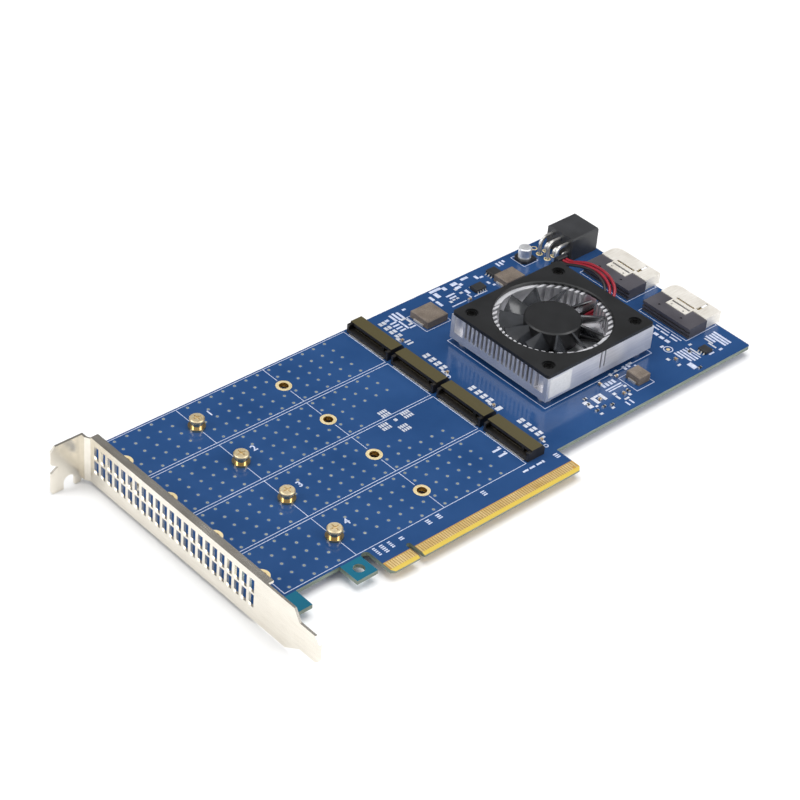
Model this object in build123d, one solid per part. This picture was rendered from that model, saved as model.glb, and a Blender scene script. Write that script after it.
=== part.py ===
"""Full-height expansion card that carries four solid-state drive modules.

Frame, in millimetres: the origin is on the centre line of the key notch in the edge
connector, at the tip of the connector tongue, on the component face of the circuit board.
+X runs from the steel bracket to the far end of the board, +Y from the edge connector to
the opposite edge, and +Z stands up out of the component face.
"""
from build123d import *
from math import pi, radians, sin, sqrt, tan
import os

# circuit board outline
BOARD_THICKNESS = 1.6
BOARD_LEFT = -57.8
BOARD_RIGHT = 172.1
BOARD_FAR = 106.65
BOARD_NEAR = 12.1
BOARD_CORNER = 1.0
TONGUE_RIGHT = 72.6
TONGUE_LEFT = -12.6
TONGUE_CHAMFER = 1.2
KEY_WIDTH = 1.9
KEY_HEIGHT = 7.4
BEVEL_RUN = 1.35
BEVEL_RISE = 0.45
EAR_LEFT = -52.0
EAR_RIGHT = -42.4
EAR_NEAR = 4.1
HOOK_LEFT = -24.4
HOOK_RIGHT = -15.8
HOOK_NEAR = 3.6
HOOK_HOLE_RADIUS = 2.0
HOOK_HOLE_X = -20.0
HOOK_HOLE_Y = 7.9

# edge contacts
CONTACT_PITCH = 1.0
CONTACT_WIDTH = 0.7
CONTACT_TOP = 4.6
CONTACT_THICKNESS = 0.06
CONTACTS_LEFT = 11
CONTACTS_RIGHT = 71
KEY_TO_CONTACT = 1.5
PRESENCE_SHORTENING = 1.2

# bracket
BRACKET_FACE = -59.05
BRACKET_THICKNESS = 0.9
BRACKET_TOP = 15.2
BRACKET_WIDTH = 18.42
TAB_SEAT = 99.1
JOGGLE_START = 95.8
JOGGLE_STEP = 1.1
JOGGLE_RUN = 1.9
TAB_REACH = 12.0
TAB_CORNER = 1.8
TAB_TRIM = 0.6
JOGGLE_EASE = 0.3
TAB_TOP = 14.6
TAB_BOTTOM = -4.4
TONGUE_TIP = -18.0
SHOULDER = -6.0
TONGUE_STEP = 4.1
UPPER_SHOULDER = ((-1.8, 1.2), (-2.6, 0.0))
LOWER_SHOULDER = (-3.2, 3.4)
TONGUE_CORNERS = (2.0, 1.5)
FLANGE_DEPTH = 3.0
FLANGE_NEAR = 7.2
SCREW_NOTCH_RADIUS = 2.2
SCREW_NOTCH_OFFSET = 6.2
SCREW_NOTCH_DEPTH = 4.8
SIDE_NOTCH_HEIGHT = 3.8
SIDE_NOTCH_DEPTH = 2.8
SIDE_NOTCH_BOTTOM = 4.0
VENT_COLUMNS = 23
VENT_PITCH = 3.585
VENT_FIRST = 92.6
VENT_WIDTH = 2.3
VENT_HEIGHT = 5.1
VENT_WEB = 0.8
VENT_UPPER_CENTRE = 10.2
FOOT_DEPTH = 11.0
FOOT_WIDTH = 8.0
FOOT_NEAR_Y = 15.4
FOOT_FAR_Y = 81.0
FOOT_SCREW_X = -51.5
FOOT_SCREW_RADIUS = 1.5
FOOT_SCREW_HEAD_RADIUS = 2.7
FOOT_SCREW_HEAD = 1.6
FOOT_SCREW_DRIVE = 0.8
FOOT_CORNER = 1.5
SCREW_CLEARANCE = 0.1
HEAD_BEVEL = 0.35
DRIVE_SHARE = 0.6
DRIVE_WIDTH = 0.44

# module places
MODULE_PITCH = 23.5
MODULE_WIDTH = 22.0
MODULE_FIRST = 12.95
ROW_110 = -46.4
ROW_80 = -16.4
ROW_42 = 21.6
HOLE_RADIUS = 1.75
RING_RADIUS = 2.9
RING_THICKNESS = 0.05
POST_FLANGE_RADIUS = 3.1
POST_FLANGE_HEIGHT = 0.8
POST_RADIUS = 2.2
POST_HEIGHT = 3.1
POST_BORE = 1.0
MODULE_SCREW_HEAD_RADIUS = 2.7
MODULE_SCREW_HEAD = 1.0
MODULE_SCREW_DRIVE = 0.45
MODULE_SCREW_RADIUS = 0.95

# module sockets
SOCKET_FRONT = 59.8
SOCKET_BACK = 67.6
SOCKET_HEIGHT = 4.2
SOCKET_LIP = 1.6
SOCKET_BEVEL = (1.1, 1.2)
SOCKET_CHEEK = 1.2
SOCKET_CHEEK_DROP = 0.6
SOCKET_LIP_HEIGHT = 1.5
SOCKET_MOUTH_DEPTH = 4.6
SOCKET_MOUTH_HEIGHT = 1.5
SOCKET_MOUTH_WIDTH = 19.85
SOCKET_WIDTH = 21.6
SOCKET_KEY_WIDTH = 1.2
SOCKET_KEY_PLACE = 3.5
PIN_SETBACK = 0.5
PIN_PITCH = 0.5
PIN_WIDTH = 0.26
PIN_COUNT = 38
PIN_THICKNESS = 0.22

# heat sink and its chip
SINK_LEFT = 85.7
SINK_RIGHT = 139.0
SINK_NEAR = 31.1
SINK_FAR = 79.3
SINK_BASE_BOTTOM = 2.1
SINK_BASE_TOP = 4.6
SINK_TOP = 12.0
SINK_END_WALL = 5.6
FIN_FLOOR = 5.4
SCOOP_RADIUS = 2.2
SCOOP_INSET = 4.0
SCOOP_BOTTOM = 5.0
FIN_PITCH = 2.05
FIN_THICKNESS = 1.05
CORNER_BLOCK = 5.6
SLIT_WIDTH = 0.75
SLIT_SPACING = 2.0
SLIT_BOTTOM = 4.9
WIRE_CHANNEL = 5.0
CHIP_SIZE = 35.0
CHIP_HEIGHT = 1.6
DIE_HEIGHT = 0.6
DIE_SHARE = 0.55
SINK_SCREW_RADIUS = 1.25
SINK_BOSS_RADIUS = 2.6
SINK_SCREW_HEAD_RADIUS = 2.3
SINK_SCREW_HEAD = 1.35
SINK_SCREW_DEPTH = 1.6
SINK_SCREW_DRIVE = 0.6
SINK_SCREW_INSET = 4.2

# fan
COVER_THICKNESS = 1.3
COVER_RIM = 2.6
COVER_CORNER = 1.2
COVER_SCREW_INSET = 4.9
COVER_RECESS_RADIUS = 2.4
COVER_RECESS_DEPTH = 0.8
COVER_SCREW_RADIUS = 0.9
COVER_SCREW_LENGTH = 4.0
COVER_SCREW_HEAD_RADIUS = 1.8
COVER_SCREW_HEAD = 0.6
COVER_SCREW_DRIVE = 0.3
COVER_RIM_BEVEL = 0.4
FAN_SHIFT = 0.3
POCKET_LEDGE = 1.7
POCKET_FLOOR = 4.6
FAN_BASE_STEP = 0.6
FAN_BASE_THICKNESS = 0.9
FAN_ARM_WIDTH = 2.6
FAN_ARM_GAP = 0.15
FAN_ARMS = 4
BEARING_SHARE = 0.21
BOSS_SHARE = 0.296
BEARING_TOP = 10.4
SHAFT_RADIUS = 1.0
SHAFT_CLEARANCE = 0.05
SHAFT_COVER = 0.5
SHAFT_END_PLAY = 0.1
BEARING_FLOOR = 0.5
BEARING_END = 0.4
HUB_RADIUS = 10.4
HUB_TOP = 13.0
HUB_BOTTOM = 6.3
HUB_WALL = 0.9
HUB_ROOF = 1.3
HUB_EDGE = 0.5
MAGNET_THICKNESS = 1.2
MAGNET_BOTTOM = 6.6
MAGNET_TOP = 11.0
AIR_GAP = 0.6
STATOR_BOTTOM = 6.6
STATOR_TOP = 9.6
STATOR_POLES = 4
SHOE_SHARE = 0.65
SHOE_DEPTH = 0.13
CORE_SHARE = 0.53
POLE_SHARE = 0.234
COIL_SHARE = 0.26
COIL_GAP = 0.1
COIL_RISE = 0.6
COIL_EDGE = 0.5
BLADE_COUNT = 11
BLADE_CLEARANCE = 0.8
BLADE_THICKNESS = 0.8
BLADE_BOTTOM = 6.5
BLADE_TOP = 12.6
BLADE_ROOT_PITCH = 60.0
BLADE_TIP_PITCH = 48.0
BLADE_SWEEP = 9.0
BLADE_START = -18.0

# fan lead
WIRE_DIAMETER = 1.2
HEADER_X = 149.3
HEADER_Y = 87.0
HEADER_WIDTH = 6.4
HEADER_DEPTH = 3.6
HEADER_HEIGHT = 4.2
HEADER_WALL = 0.6
HEADER_FLOOR = 0.7
PLUG_TOP = 6.8
PLUG_CLEARANCE = 0.1
LEAD_PITCH = 1.5
LEAD_HEIGHT = 5.6
LEAD_GAP = 0.25
LEAD_REST = 0.7
BEND_SHARE = 0.45
CHANNEL_SHIFT = 0.7

# bends of each strand: points from where it leaves the heat sink, then points from the header
LEAD_BENDS = (
    (
        ((4.6, -1.1, 2.2), (9.0, 1.8, 4.3), (11.5, 6.9, 5.4), (12.6, 13.0, 5.5)),
        ((2.2, -9.8, 9.2), (1.6, -5.4, 7.4), (1.5, -2.3, 5.8)),
    ),
    (
        ((4.0, 0.4, 2.1), (7.8, 3.2, 3.9), (10.1, 7.9, 4.9), (11.2, 13.6, 5.0)),
        ((0.6, -10.0, 8.9), (0.1, -5.4, 7.2), (0.0, -2.3, 5.6)),
    ),
    (
        ((3.4, 1.9, 2.3), (6.6, 4.6, 4.1), (8.7, 8.9, 5.0), (9.8, 14.3, 5.1)),
        ((-0.9, -10.2, 9.0), (-1.4, -5.4, 7.4), (-1.5, -2.3, 5.8)),
    ),
)

# power socket
POWER_LEFT = 157.4
POWER_RIGHT = 171.2
POWER_NEAR = 89.0
POWER_WIDTH = 13.2
POWER_HEIGHT = 9.6
POWER_EDGE = 0.5
POWER_PITCH = 4.2
POWER_CAVITY = 3.3
POWER_CAVITY_DEPTH = 11.0
POWER_PIN = 1.0
POWER_ROWS = (2.7, 6.9)
POWER_FEET = (155.0, 151.6)
POWER_BENDS = (1.4, 2.6)
POWER_PIN_TAIL = 1.25
POWER_TIP_DEPTH = 3.2

# storage sockets
STORAGE_LEFT = 156.4
STORAGE_RIGHT = 166.0
STORAGE_SHELL_RIGHT = 174.2
STORAGE_NEAR = (28.3, 58.5)
STORAGE_WIDTH = 22.9
STORAGE_HEIGHT = 4.2
STORAGE_GROOVE = 0.6
STORAGE_GROOVES = ((0.7, 1.5), (2.2, 3.0))
EJECTOR_MARK_X = 159.4
EJECTOR_MARKS = (6.9, 17.7)
EJECTOR_MARK_RADIUS = 0.5
SHELL_THICKNESS = 0.3
SHELL_INSET = 0.9
SHELL_CORNER = 3.4
LATCH_WIDTH = 9.6
LATCH_REACH = 4.1
LATCH_PLACE = 7.2
LATCH_BORDER = 0.5
LATCH_HOLE_INSET = 1.9
LATCH_HOLE_RADIUS = 0.4
LATCH_WINDOW = (-1.5, -0.7)
LATCH_SHOULDER = (1.0, 1.8)
SHELL_SLOT = (1.9, 7.3)
SHELL_SLOT_WIDTH = 1.1
WAFER_THICKNESS = 1.0
WAFER_WIDTH = 17.0
WAFER_BOTTOM = 1.6
WAFER_SEAT = 3.0
WAFER_SETBACK = 1.8
STORAGE_PADS = 18
STORAGE_PAD_PITCH = 0.8
STORAGE_PAD_INSET = 0.4

# parts beside the heat sink
CAN_X = 144.3
CAN_Y = 100.6
CAN_RADIUS = 2.5
CAN_HEIGHT = 5.4
CAN_BASE = 1.1
CAN_SEAT = 6.6
CAN_CROP = 1.4
CAN_GROOVE = 0.5
CAN_GROOVE_DEPTH = 0.2

# chip capacitors and resistors: the length is that of the whole part
SOCKET_CHIP_X = 72.0
SOCKET_CHIP_Y = 5.95
CHIP_LENGTH = 1.6
CHIP_WIDTH = 0.85
CHIP_END = 0.35
CAPACITOR_HEIGHT = 0.8
RESISTOR_HEIGHT = 0.5
LOOSE_CHIPS = (
    (109.3, 93.4, False, CAPACITOR_HEIGHT),
    (104.4, 22.4, True, CAPACITOR_HEIGHT),
    (102.7, 18.8, False, RESISTOR_HEIGHT),
    (105.8, 17.9, False, RESISTOR_HEIGHT),
    (113.8, 19.7, True, CAPACITOR_HEIGHT),
    (99.0, 23.0, False, RESISTOR_HEIGHT),
    (99.1, 18.7, False, RESISTOR_HEIGHT),
    (118.7, 28.3, False, CAPACITOR_HEIGHT),
    (116.2, 20.1, True, RESISTOR_HEIGHT),
    (110.7, 28.5, True, CAPACITOR_HEIGHT),
    (100.2, 25.7, False, RESISTOR_HEIGHT),
    (143.5, 22.4, True, CAPACITOR_HEIGHT),
    (151.0, 22.6, True, RESISTOR_HEIGHT),
    (146.9, 13.9, False, RESISTOR_HEIGHT),
)

# chip bodies: limits along X and Y, height, and whether the leads point along Y
PACKAGES = (
    ((114.0, 119.0), (94.9, 98.5), 1.5, True),
    ((125.9, 130.3), (98.3, 102.4), 1.5, False),
    ((154.4, 158.0), (17.9, 21.6), 1.2, False),
)
LEG_PITCH = 1.27
LEG_WIDTH = 0.4
LEG_REACH = 1.0
LEG_RISE = 0.4
LEG_THICKNESS = 0.2
PACKAGE_CLEARANCE = 0.15

# inductors: limits along X and Y, and height
CHOKE_EDGE = 0.35
INDUCTORS = (
    ((84.2, 94.0), (89.1, 98.4), 3.2),
    ((125.0, 134.2), (90.3, 97.2), 3.0),
    ((121.2, 126.9), (19.8, 26.0), 3.4),
)


def block(x, y, z):
    """A box between the two limits given for each direction."""
    size = (x[1] - x[0], y[1] - y[0], z[1] - z[0])
    middle = ((x[0] + x[1]) / 2, (y[0] + y[1]) / 2, (z[0] + z[1]) / 2)
    return Pos(*middle) * Box(*size)


def rod(x, y, z, radius):
    """An upright round bar between two heights."""
    return Pos(x, y, (z[0] + z[1]) / 2) * Cylinder(radius, z[1] - z[0])


def fused(shapes):
    """One solid out of pieces that overlap or touch."""
    whole = shapes[0]
    for shape in shapes[1:]:
        whole = whole + shape
    return whole


def group(shapes):
    """Separate solids that share one node."""
    return Compound(children=[Solid(part.wrapped) for shape in shapes for part in shape.solids()])


module_near = [MODULE_FIRST + index * MODULE_PITCH for index in range(4)]
module_middle = [near + MODULE_WIDTH / 2 for near in module_near]
underside = -BOARD_THICKNESS
foot_places = (FOOT_NEAR_Y, FOOT_FAR_Y)
sink_middle = ((SINK_LEFT + SINK_RIGHT) / 2, (SINK_NEAR + SINK_FAR) / 2 + FAN_SHIFT)
cover_opening = (SINK_FAR - SINK_NEAR) / 2 - COVER_RIM
pocket_radius = cover_opening - POCKET_LEDGE
blade_tip = pocket_radius - BLADE_CLEARANCE
fan_base_radius = HUB_RADIUS - FAN_BASE_STEP
stator_radius = HUB_RADIUS - HUB_WALL - MAGNET_THICKNESS - AIR_GAP
bearing_radius = HUB_RADIUS * BEARING_SHARE
boss_radius = HUB_RADIUS * BOSS_SHARE
core_radius = stator_radius * CORE_SHARE
shoe_radius = stator_radius * (1 - SHOE_DEPTH)
pole_width = stator_radius * POLE_SHARE
channel_y = sink_middle[1] + CHANNEL_SHIFT
header_near = HEADER_Y - HEADER_DEPTH / 2
sink_screws = [
    (x, y)
    for x in (SINK_LEFT + SINK_SCREW_INSET, SINK_RIGHT - SINK_SCREW_INSET)
    for y in (SINK_NEAR + SINK_SCREW_INSET, SINK_FAR - SINK_SCREW_INSET)
]
cover_screws = [
    (x, y)
    for x in (SINK_LEFT + COVER_SCREW_INSET, SINK_RIGHT - COVER_SCREW_INSET)
    for y in (SINK_NEAR + COVER_SCREW_INSET, SINK_FAR - COVER_SCREW_INSET)
]
cover_top = SINK_TOP + COVER_THICKNESS
power_columns = [POWER_NEAR + POWER_WIDTH / 2 + step * POWER_PITCH for step in (-1, 0, 1)]


def circuit_board():
    """Glass-epoxy board with the edge tongue, the key notch, the retaining hook and the holes."""
    slot_middle = (HOOK_RIGHT + TONGUE_LEFT) / 2
    outline = [
        (BOARD_LEFT, BOARD_FAR),
        (BOARD_RIGHT, BOARD_FAR),
        (BOARD_RIGHT, BOARD_NEAR),
        (TONGUE_RIGHT, BOARD_NEAR),
        (TONGUE_RIGHT, TONGUE_CHAMFER),
        (TONGUE_RIGHT - TONGUE_CHAMFER, 0),
        (TONGUE_LEFT + TONGUE_CHAMFER, 0),
        (TONGUE_LEFT, TONGUE_CHAMFER),
        (TONGUE_LEFT, BOARD_NEAR - 1),
        (HOOK_RIGHT, BOARD_NEAR - 1),
        (HOOK_RIGHT, HOOK_NEAR),
        (HOOK_LEFT, HOOK_NEAR),
        (HOOK_LEFT, BOARD_NEAR),
        (EAR_RIGHT, BOARD_NEAR),
        (EAR_RIGHT, EAR_NEAR),
        (EAR_LEFT, EAR_NEAR),
        (EAR_LEFT, BOARD_NEAR),
        (BOARD_LEFT, BOARD_NEAR),
    ]
    face = make_face(Polyline(*outline, close=True))
    board = extrude(face, amount=-BOARD_THICKNESS)
    through = (underside - 1, 1)
    corners = board.edges().filter_by(Axis.Z).filter_by_position(Axis.X, BOARD_RIGHT, BOARD_RIGHT)
    board = fillet(corners, BOARD_CORNER)
    cuts = [rod(slot_middle, BOARD_NEAR - 1, through, (TONGUE_LEFT - HOOK_RIGHT) / 2)]
    cuts.append(block((-KEY_WIDTH / 2, KEY_WIDTH / 2), (-1, KEY_HEIGHT - KEY_WIDTH / 2), through))
    cuts.append(rod(0, KEY_HEIGHT - KEY_WIDTH / 2, through, KEY_WIDTH / 2))
    cuts.append(rod(HOOK_HOLE_X, HOOK_HOLE_Y, through, HOOK_HOLE_RADIUS))
    for row in (ROW_110, ROW_80, ROW_42):
        cuts.extend(rod(row, y, through, HOLE_RADIUS) for y in module_middle)
    cuts.extend(rod(FOOT_SCREW_X, y, through, FOOT_SCREW_RADIUS + SCREW_CLEARANCE) for y in foot_places)
    cuts.extend(rod(x, y, through, SINK_SCREW_RADIUS + SCREW_CLEARANCE) for x, y in sink_screws)
    for row in POWER_FEET:
        cuts.extend(rod(row, y, through, POWER_PIN) for y in power_columns)
    for face_z, direction in ((0, 1), (underside, -1)):
        wedge = make_face(
            Polyline(
                (0, -0.1, face_z + direction),
                (0, BEVEL_RUN, face_z + direction),
                (0, BEVEL_RUN, face_z),
                (0, 0, face_z - direction * BEVEL_RISE),
                (0, -0.1, face_z - direction * BEVEL_RISE),
                close=True,
            )
        )
        cuts.append(Pos(TONGUE_LEFT - 1, 0, 0) * extrude(wedge, amount=TONGUE_RIGHT - TONGUE_LEFT + 2, dir=(1, 0, 0)))
    for cut in cuts:
        board = board - cut
    return board


def edge_contacts():
    """Gold-plated contacts on both faces of the tongue, two of them short for presence sensing."""
    left = [-KEY_TO_CONTACT - step * CONTACT_PITCH for step in range(CONTACTS_LEFT)]
    right = [KEY_TO_CONTACT + step * CONTACT_PITCH for step in range(CONTACTS_RIGHT)]
    places = sorted(left + right)
    faces = (
        ((0, CONTACT_THICKNESS), places[-2]),
        ((underside - CONTACT_THICKNESS, underside), places[0]),
    )
    pads = []
    for height, short in faces:
        for x in places:
            near = BEVEL_RUN + (PRESENCE_SHORTENING if x == short else 0)
            pads.append(block((x - CONTACT_WIDTH / 2, x + CONTACT_WIDTH / 2), (near, CONTACT_TOP), height))
    return group(pads)


def bracket_side_profile():
    """The bracket's bends seen from above: plate, joggle and the tab turned outwards."""
    face = BRACKET_FACE
    skin = BRACKET_THICKNESS
    outward = face - JOGGLE_STEP
    corner = JOGGLE_START + JOGGLE_RUN
    points = [
        (face, TONGUE_TIP),
        (face, JOGGLE_START),
        (outward, corner),
        (outward, TAB_SEAT),
        (outward - TAB_REACH, TAB_SEAT),
        (outward - TAB_REACH, TAB_SEAT + skin),
        (outward + skin, TAB_SEAT + skin),
        (outward + skin, corner - JOGGLE_EASE),
        (face + skin, JOGGLE_START - JOGGLE_EASE),
        (face + skin, TONGUE_TIP),
    ]
    return make_face(Polyline(*points, close=True))


def bracket():
    """Steel slot bracket: vented plate, stiffening flange, screw tab, tongue and two feet."""
    low = BRACKET_TOP - BRACKET_WIDTH
    inner = BRACKET_FACE + BRACKET_THICKNESS
    outward = BRACKET_FACE - JOGGLE_STEP
    span = (low - 2, BRACKET_TOP + 2)
    sheet = extrude(Pos(0, 0, span[0]) * bracket_side_profile(), amount=span[1] - span[0])
    tongue_top = BRACKET_TOP - TONGUE_STEP
    tongue_bottom = low + TONGUE_STEP
    plate_outline = [
        (0, SHOULDER, BRACKET_TOP),
        *((0, SHOULDER + run, tongue_top + rise) for run, rise in UPPER_SHOULDER),
        (0, TONGUE_TIP + TONGUE_CORNERS[0], tongue_top),
        (0, TONGUE_TIP, tongue_top - TONGUE_CORNERS[0]),
        (0, TONGUE_TIP, tongue_bottom + TONGUE_CORNERS[1]),
        (0, TONGUE_TIP + TONGUE_CORNERS[1], tongue_bottom),
        (0, SHOULDER + LOWER_SHOULDER[0], tongue_bottom),
        (0, SHOULDER + LOWER_SHOULDER[1], low),
        (0, JOGGLE_START, low),
        (0, JOGGLE_START, BRACKET_TOP),
    ]
    plate_shape = make_face(Polyline(*plate_outline, close=True))
    keep_plate = Pos(inner + 1, 0, 0) * extrude(plate_shape, amount=3 + BRACKET_THICKNESS, dir=(-1, 0, 0))
    notch_x = BRACKET_FACE - SCREW_NOTCH_OFFSET
    tab_edge = outward - TAB_REACH
    notch_top = TAB_BOTTOM + SCREW_NOTCH_DEPTH
    side_low = SIDE_NOTCH_BOTTOM
    side_high = SIDE_NOTCH_BOTTOM + SIDE_NOTCH_HEIGHT
    tab_outline = [
        (inner + 1, 0, TAB_TOP),
        (tab_edge + TAB_CORNER, 0, TAB_TOP),
        (tab_edge, 0, TAB_TOP - TAB_CORNER),
        (tab_edge, 0, side_high),
        (tab_edge + SIDE_NOTCH_DEPTH, 0, (side_low + side_high) / 2),
        (tab_edge, 0, side_low),
        (tab_edge, 0, TAB_BOTTOM + TAB_TRIM),
        (tab_edge + TAB_TRIM, 0, TAB_BOTTOM),
        (outward - TAB_TRIM, 0, TAB_BOTTOM),
        (outward, 0, low),
        (inner + 1, 0, low),
    ]
    tab_shape = make_face(Polyline(*tab_outline, close=True))
    keep_tab = Pos(0, JOGGLE_START, 0) * extrude(tab_shape, amount=8, dir=(0, 1, 0))
    notch = Pos(notch_x, TAB_SEAT, notch_top - SCREW_NOTCH_RADIUS) * (
        Rot(90, 0, 0) * Cylinder(SCREW_NOTCH_RADIUS, 6)
    )
    notch_way = block(
        (notch_x - SCREW_NOTCH_RADIUS, notch_x + SCREW_NOTCH_RADIUS),
        (TAB_SEAT - 3, TAB_SEAT + 3),
        (TAB_BOTTOM - 3, notch_top - SCREW_NOTCH_RADIUS),
    )
    body = (sheet & keep_plate) + (sheet & keep_tab)
    body = body - notch - notch_way
    slots = []
    for column in range(VENT_COLUMNS):
        y = VENT_FIRST - column * VENT_PITCH
        for centre in (VENT_UPPER_CENTRE, VENT_UPPER_CENTRE - VENT_HEIGHT - VENT_WEB):
            slots.append(
                block(
                    (BRACKET_FACE - 1, inner + 1),
                    (y - VENT_WIDTH / 2, y + VENT_WIDTH / 2),
                    (centre - VENT_HEIGHT / 2, centre + VENT_HEIGHT / 2),
                )
            )
    body = body - slots
    flange = block(
        (inner, BRACKET_FACE + FLANGE_DEPTH),
        (FLANGE_NEAR, JOGGLE_START),
        (BRACKET_TOP - BRACKET_THICKNESS, BRACKET_TOP),
    )
    body = body + flange
    for y in foot_places:
        foot = block(
            (inner, inner + FOOT_DEPTH),
            (y - FOOT_WIDTH / 2, y + FOOT_WIDTH / 2),
            (underside - BRACKET_THICKNESS, underside),
        )
        foot = fillet(foot.edges().filter_by(Axis.Z).sort_by(Axis.X)[-2:], FOOT_CORNER)
        body = body + foot
        body = body - rod(FOOT_SCREW_X, y, (underside - 3, underside + 0.5), FOOT_SCREW_RADIUS)
    return body


def pan_screw(x, y, seat, radius, head_radius, head, length, drive):
    """A screw with a bevelled head on top, its shank pointing down from the seat."""
    shank = rod(x, y, (seat - length, seat), radius)
    cap = rod(x, y, (seat, seat + head), head_radius)
    cap = chamfer(cap.edges().sort_by(Axis.Z)[-1], head * HEAD_BEVEL)
    arm = head_radius * DRIVE_SHARE
    slot = (seat + head - drive, seat + head + 1)
    half = DRIVE_WIDTH / 2
    cross = [
        block((x - arm, x + arm), (y - half, y + half), slot),
        block((x - half, x + half), (y - arm, y + arm), slot),
    ]
    return (shank + cap) - cross


def bracket_screws():
    """Two pan-head screws that clamp the board to the bracket's feet."""
    length = BOARD_THICKNESS + BRACKET_THICKNESS
    return group(
        [
            pan_screw(
                FOOT_SCREW_X, y, 0, FOOT_SCREW_RADIUS, FOOT_SCREW_HEAD_RADIUS, FOOT_SCREW_HEAD,
                length, FOOT_SCREW_DRIVE,
            )
            for y in foot_places
        ]
    )


def pad_rings():
    """Plated rings round the module holes on the component face."""
    rings = []
    for row in (ROW_110, ROW_42):
        for y in module_middle:
            rings.append(
                rod(row, y, (0, RING_THICKNESS), RING_RADIUS) - rod(row, y, (-1, 1), HOLE_RADIUS)
            )
    return group(rings)


def module_posts():
    """Turned brass nuts pressed into the board, which carry the end of a module."""
    posts = []
    for y in module_middle:
        post = fused(
            [
                rod(ROW_80, y, (0, POST_FLANGE_HEIGHT), POST_FLANGE_RADIUS),
                rod(ROW_80, y, (POST_FLANGE_HEIGHT, POST_HEIGHT), POST_RADIUS),
                rod(ROW_80, y, (underside, 0), HOLE_RADIUS),
            ]
        )
        posts.append(post - rod(ROW_80, y, (underside - 1, POST_HEIGHT + 1), POST_BORE))
    return group(posts)


def module_screws():
    """Flat-head brass screws parked in the posts."""
    length = POST_HEIGHT - POST_FLANGE_HEIGHT
    return group(
        [
            pan_screw(
                ROW_80, y, POST_HEIGHT, MODULE_SCREW_RADIUS, MODULE_SCREW_HEAD_RADIUS,
                MODULE_SCREW_HEAD, length, MODULE_SCREW_DRIVE,
            )
            for y in module_middle
        ]
    )


def socket_key(near):
    """Where the coding key of a socket stands, from the near side of its module."""
    return near + (MODULE_WIDTH - SOCKET_MOUTH_WIDTH) / 2 + SOCKET_KEY_PLACE


def module_socket(near):
    """Card-edge socket for one module: a moulded housing with a keyed slot and a lower lip."""
    y0 = near + (MODULE_WIDTH - SOCKET_WIDTH) / 2
    y1 = y0 + SOCKET_WIDTH
    front = SOCKET_FRONT + SOCKET_LIP
    outline = [
        (SOCKET_FRONT, 0, 0),
        (SOCKET_BACK, 0, 0),
        (SOCKET_BACK, 0, SOCKET_HEIGHT - SOCKET_BEVEL[1]),
        (SOCKET_BACK - SOCKET_BEVEL[0], 0, SOCKET_HEIGHT),
        (front, 0, SOCKET_HEIGHT),
        (front, 0, SOCKET_LIP_HEIGHT),
        (SOCKET_FRONT, 0, SOCKET_LIP_HEIGHT),
    ]
    body = Pos(0, y0, 0) * extrude(make_face(Polyline(*outline, close=True)), amount=SOCKET_WIDTH, dir=(0, 1, 0))
    for cheek in ((y0, y0 + SOCKET_CHEEK), (y1 - SOCKET_CHEEK, y1)):
        body = body + block((SOCKET_FRONT, front), cheek, (0, SOCKET_HEIGHT - SOCKET_CHEEK_DROP))
    middle = (y0 + y1) / 2
    mouth = block(
        (SOCKET_FRONT - 1, SOCKET_FRONT + SOCKET_MOUTH_DEPTH),
        (middle - SOCKET_MOUTH_WIDTH / 2, middle + SOCKET_MOUTH_WIDTH / 2),
        (SOCKET_LIP_HEIGHT, SOCKET_LIP_HEIGHT + SOCKET_MOUTH_HEIGHT),
    )
    key_y = socket_key(near)
    key = block(
        (front, SOCKET_FRONT + SOCKET_MOUTH_DEPTH),
        (key_y - SOCKET_KEY_WIDTH / 2, key_y + SOCKET_KEY_WIDTH / 2),
        (SOCKET_LIP_HEIGHT, SOCKET_LIP_HEIGHT + SOCKET_MOUTH_HEIGHT),
    )
    return body - (mouth - key)


def module_contacts(near):
    """Two rows of sprung contacts that show along the top and bottom of the slot."""
    y0 = near + (MODULE_WIDTH - PIN_COUNT * PIN_PITCH) / 2
    x = (SOCKET_FRONT + SOCKET_LIP + PIN_SETBACK, SOCKET_FRONT + SOCKET_MOUTH_DEPTH)
    floor = SOCKET_LIP_HEIGHT
    roof = SOCKET_LIP_HEIGHT + SOCKET_MOUTH_HEIGHT
    pins = []
    for row, height in enumerate(((roof - PIN_THICKNESS, roof), (floor, floor + PIN_THICKNESS))):
        for index in range(PIN_COUNT):
            y = y0 + (index + 0.25 + 0.5 * row) * PIN_PITCH
            if abs(y - socket_key(near)) < SOCKET_KEY_WIDTH / 2 + PIN_WIDTH:
                continue
            pins.append(block(x, (y - PIN_WIDTH / 2, y + PIN_WIDTH / 2), height))
    return group(pins)


def switch_chip():
    """Ball-grid package under the heat sink, with its raised die."""
    x, y = sink_middle
    half = CHIP_SIZE / 2
    die = half * DIE_SHARE
    step = CHIP_HEIGHT - DIE_HEIGHT
    base = block((x - half, x + half), (y - half, y + half), (0, step))
    return base + block((x - die, x + die), (y - die, y + die), (step, CHIP_HEIGHT))


def thermal_pad():
    """Soft pad that fills the gap between the die and the heat sink."""
    x, y = sink_middle
    half = CHIP_SIZE / 2 * DIE_SHARE
    return block((x - half, x + half), (y - half, y + half), (CHIP_HEIGHT, SINK_BASE_BOTTOM))


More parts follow.
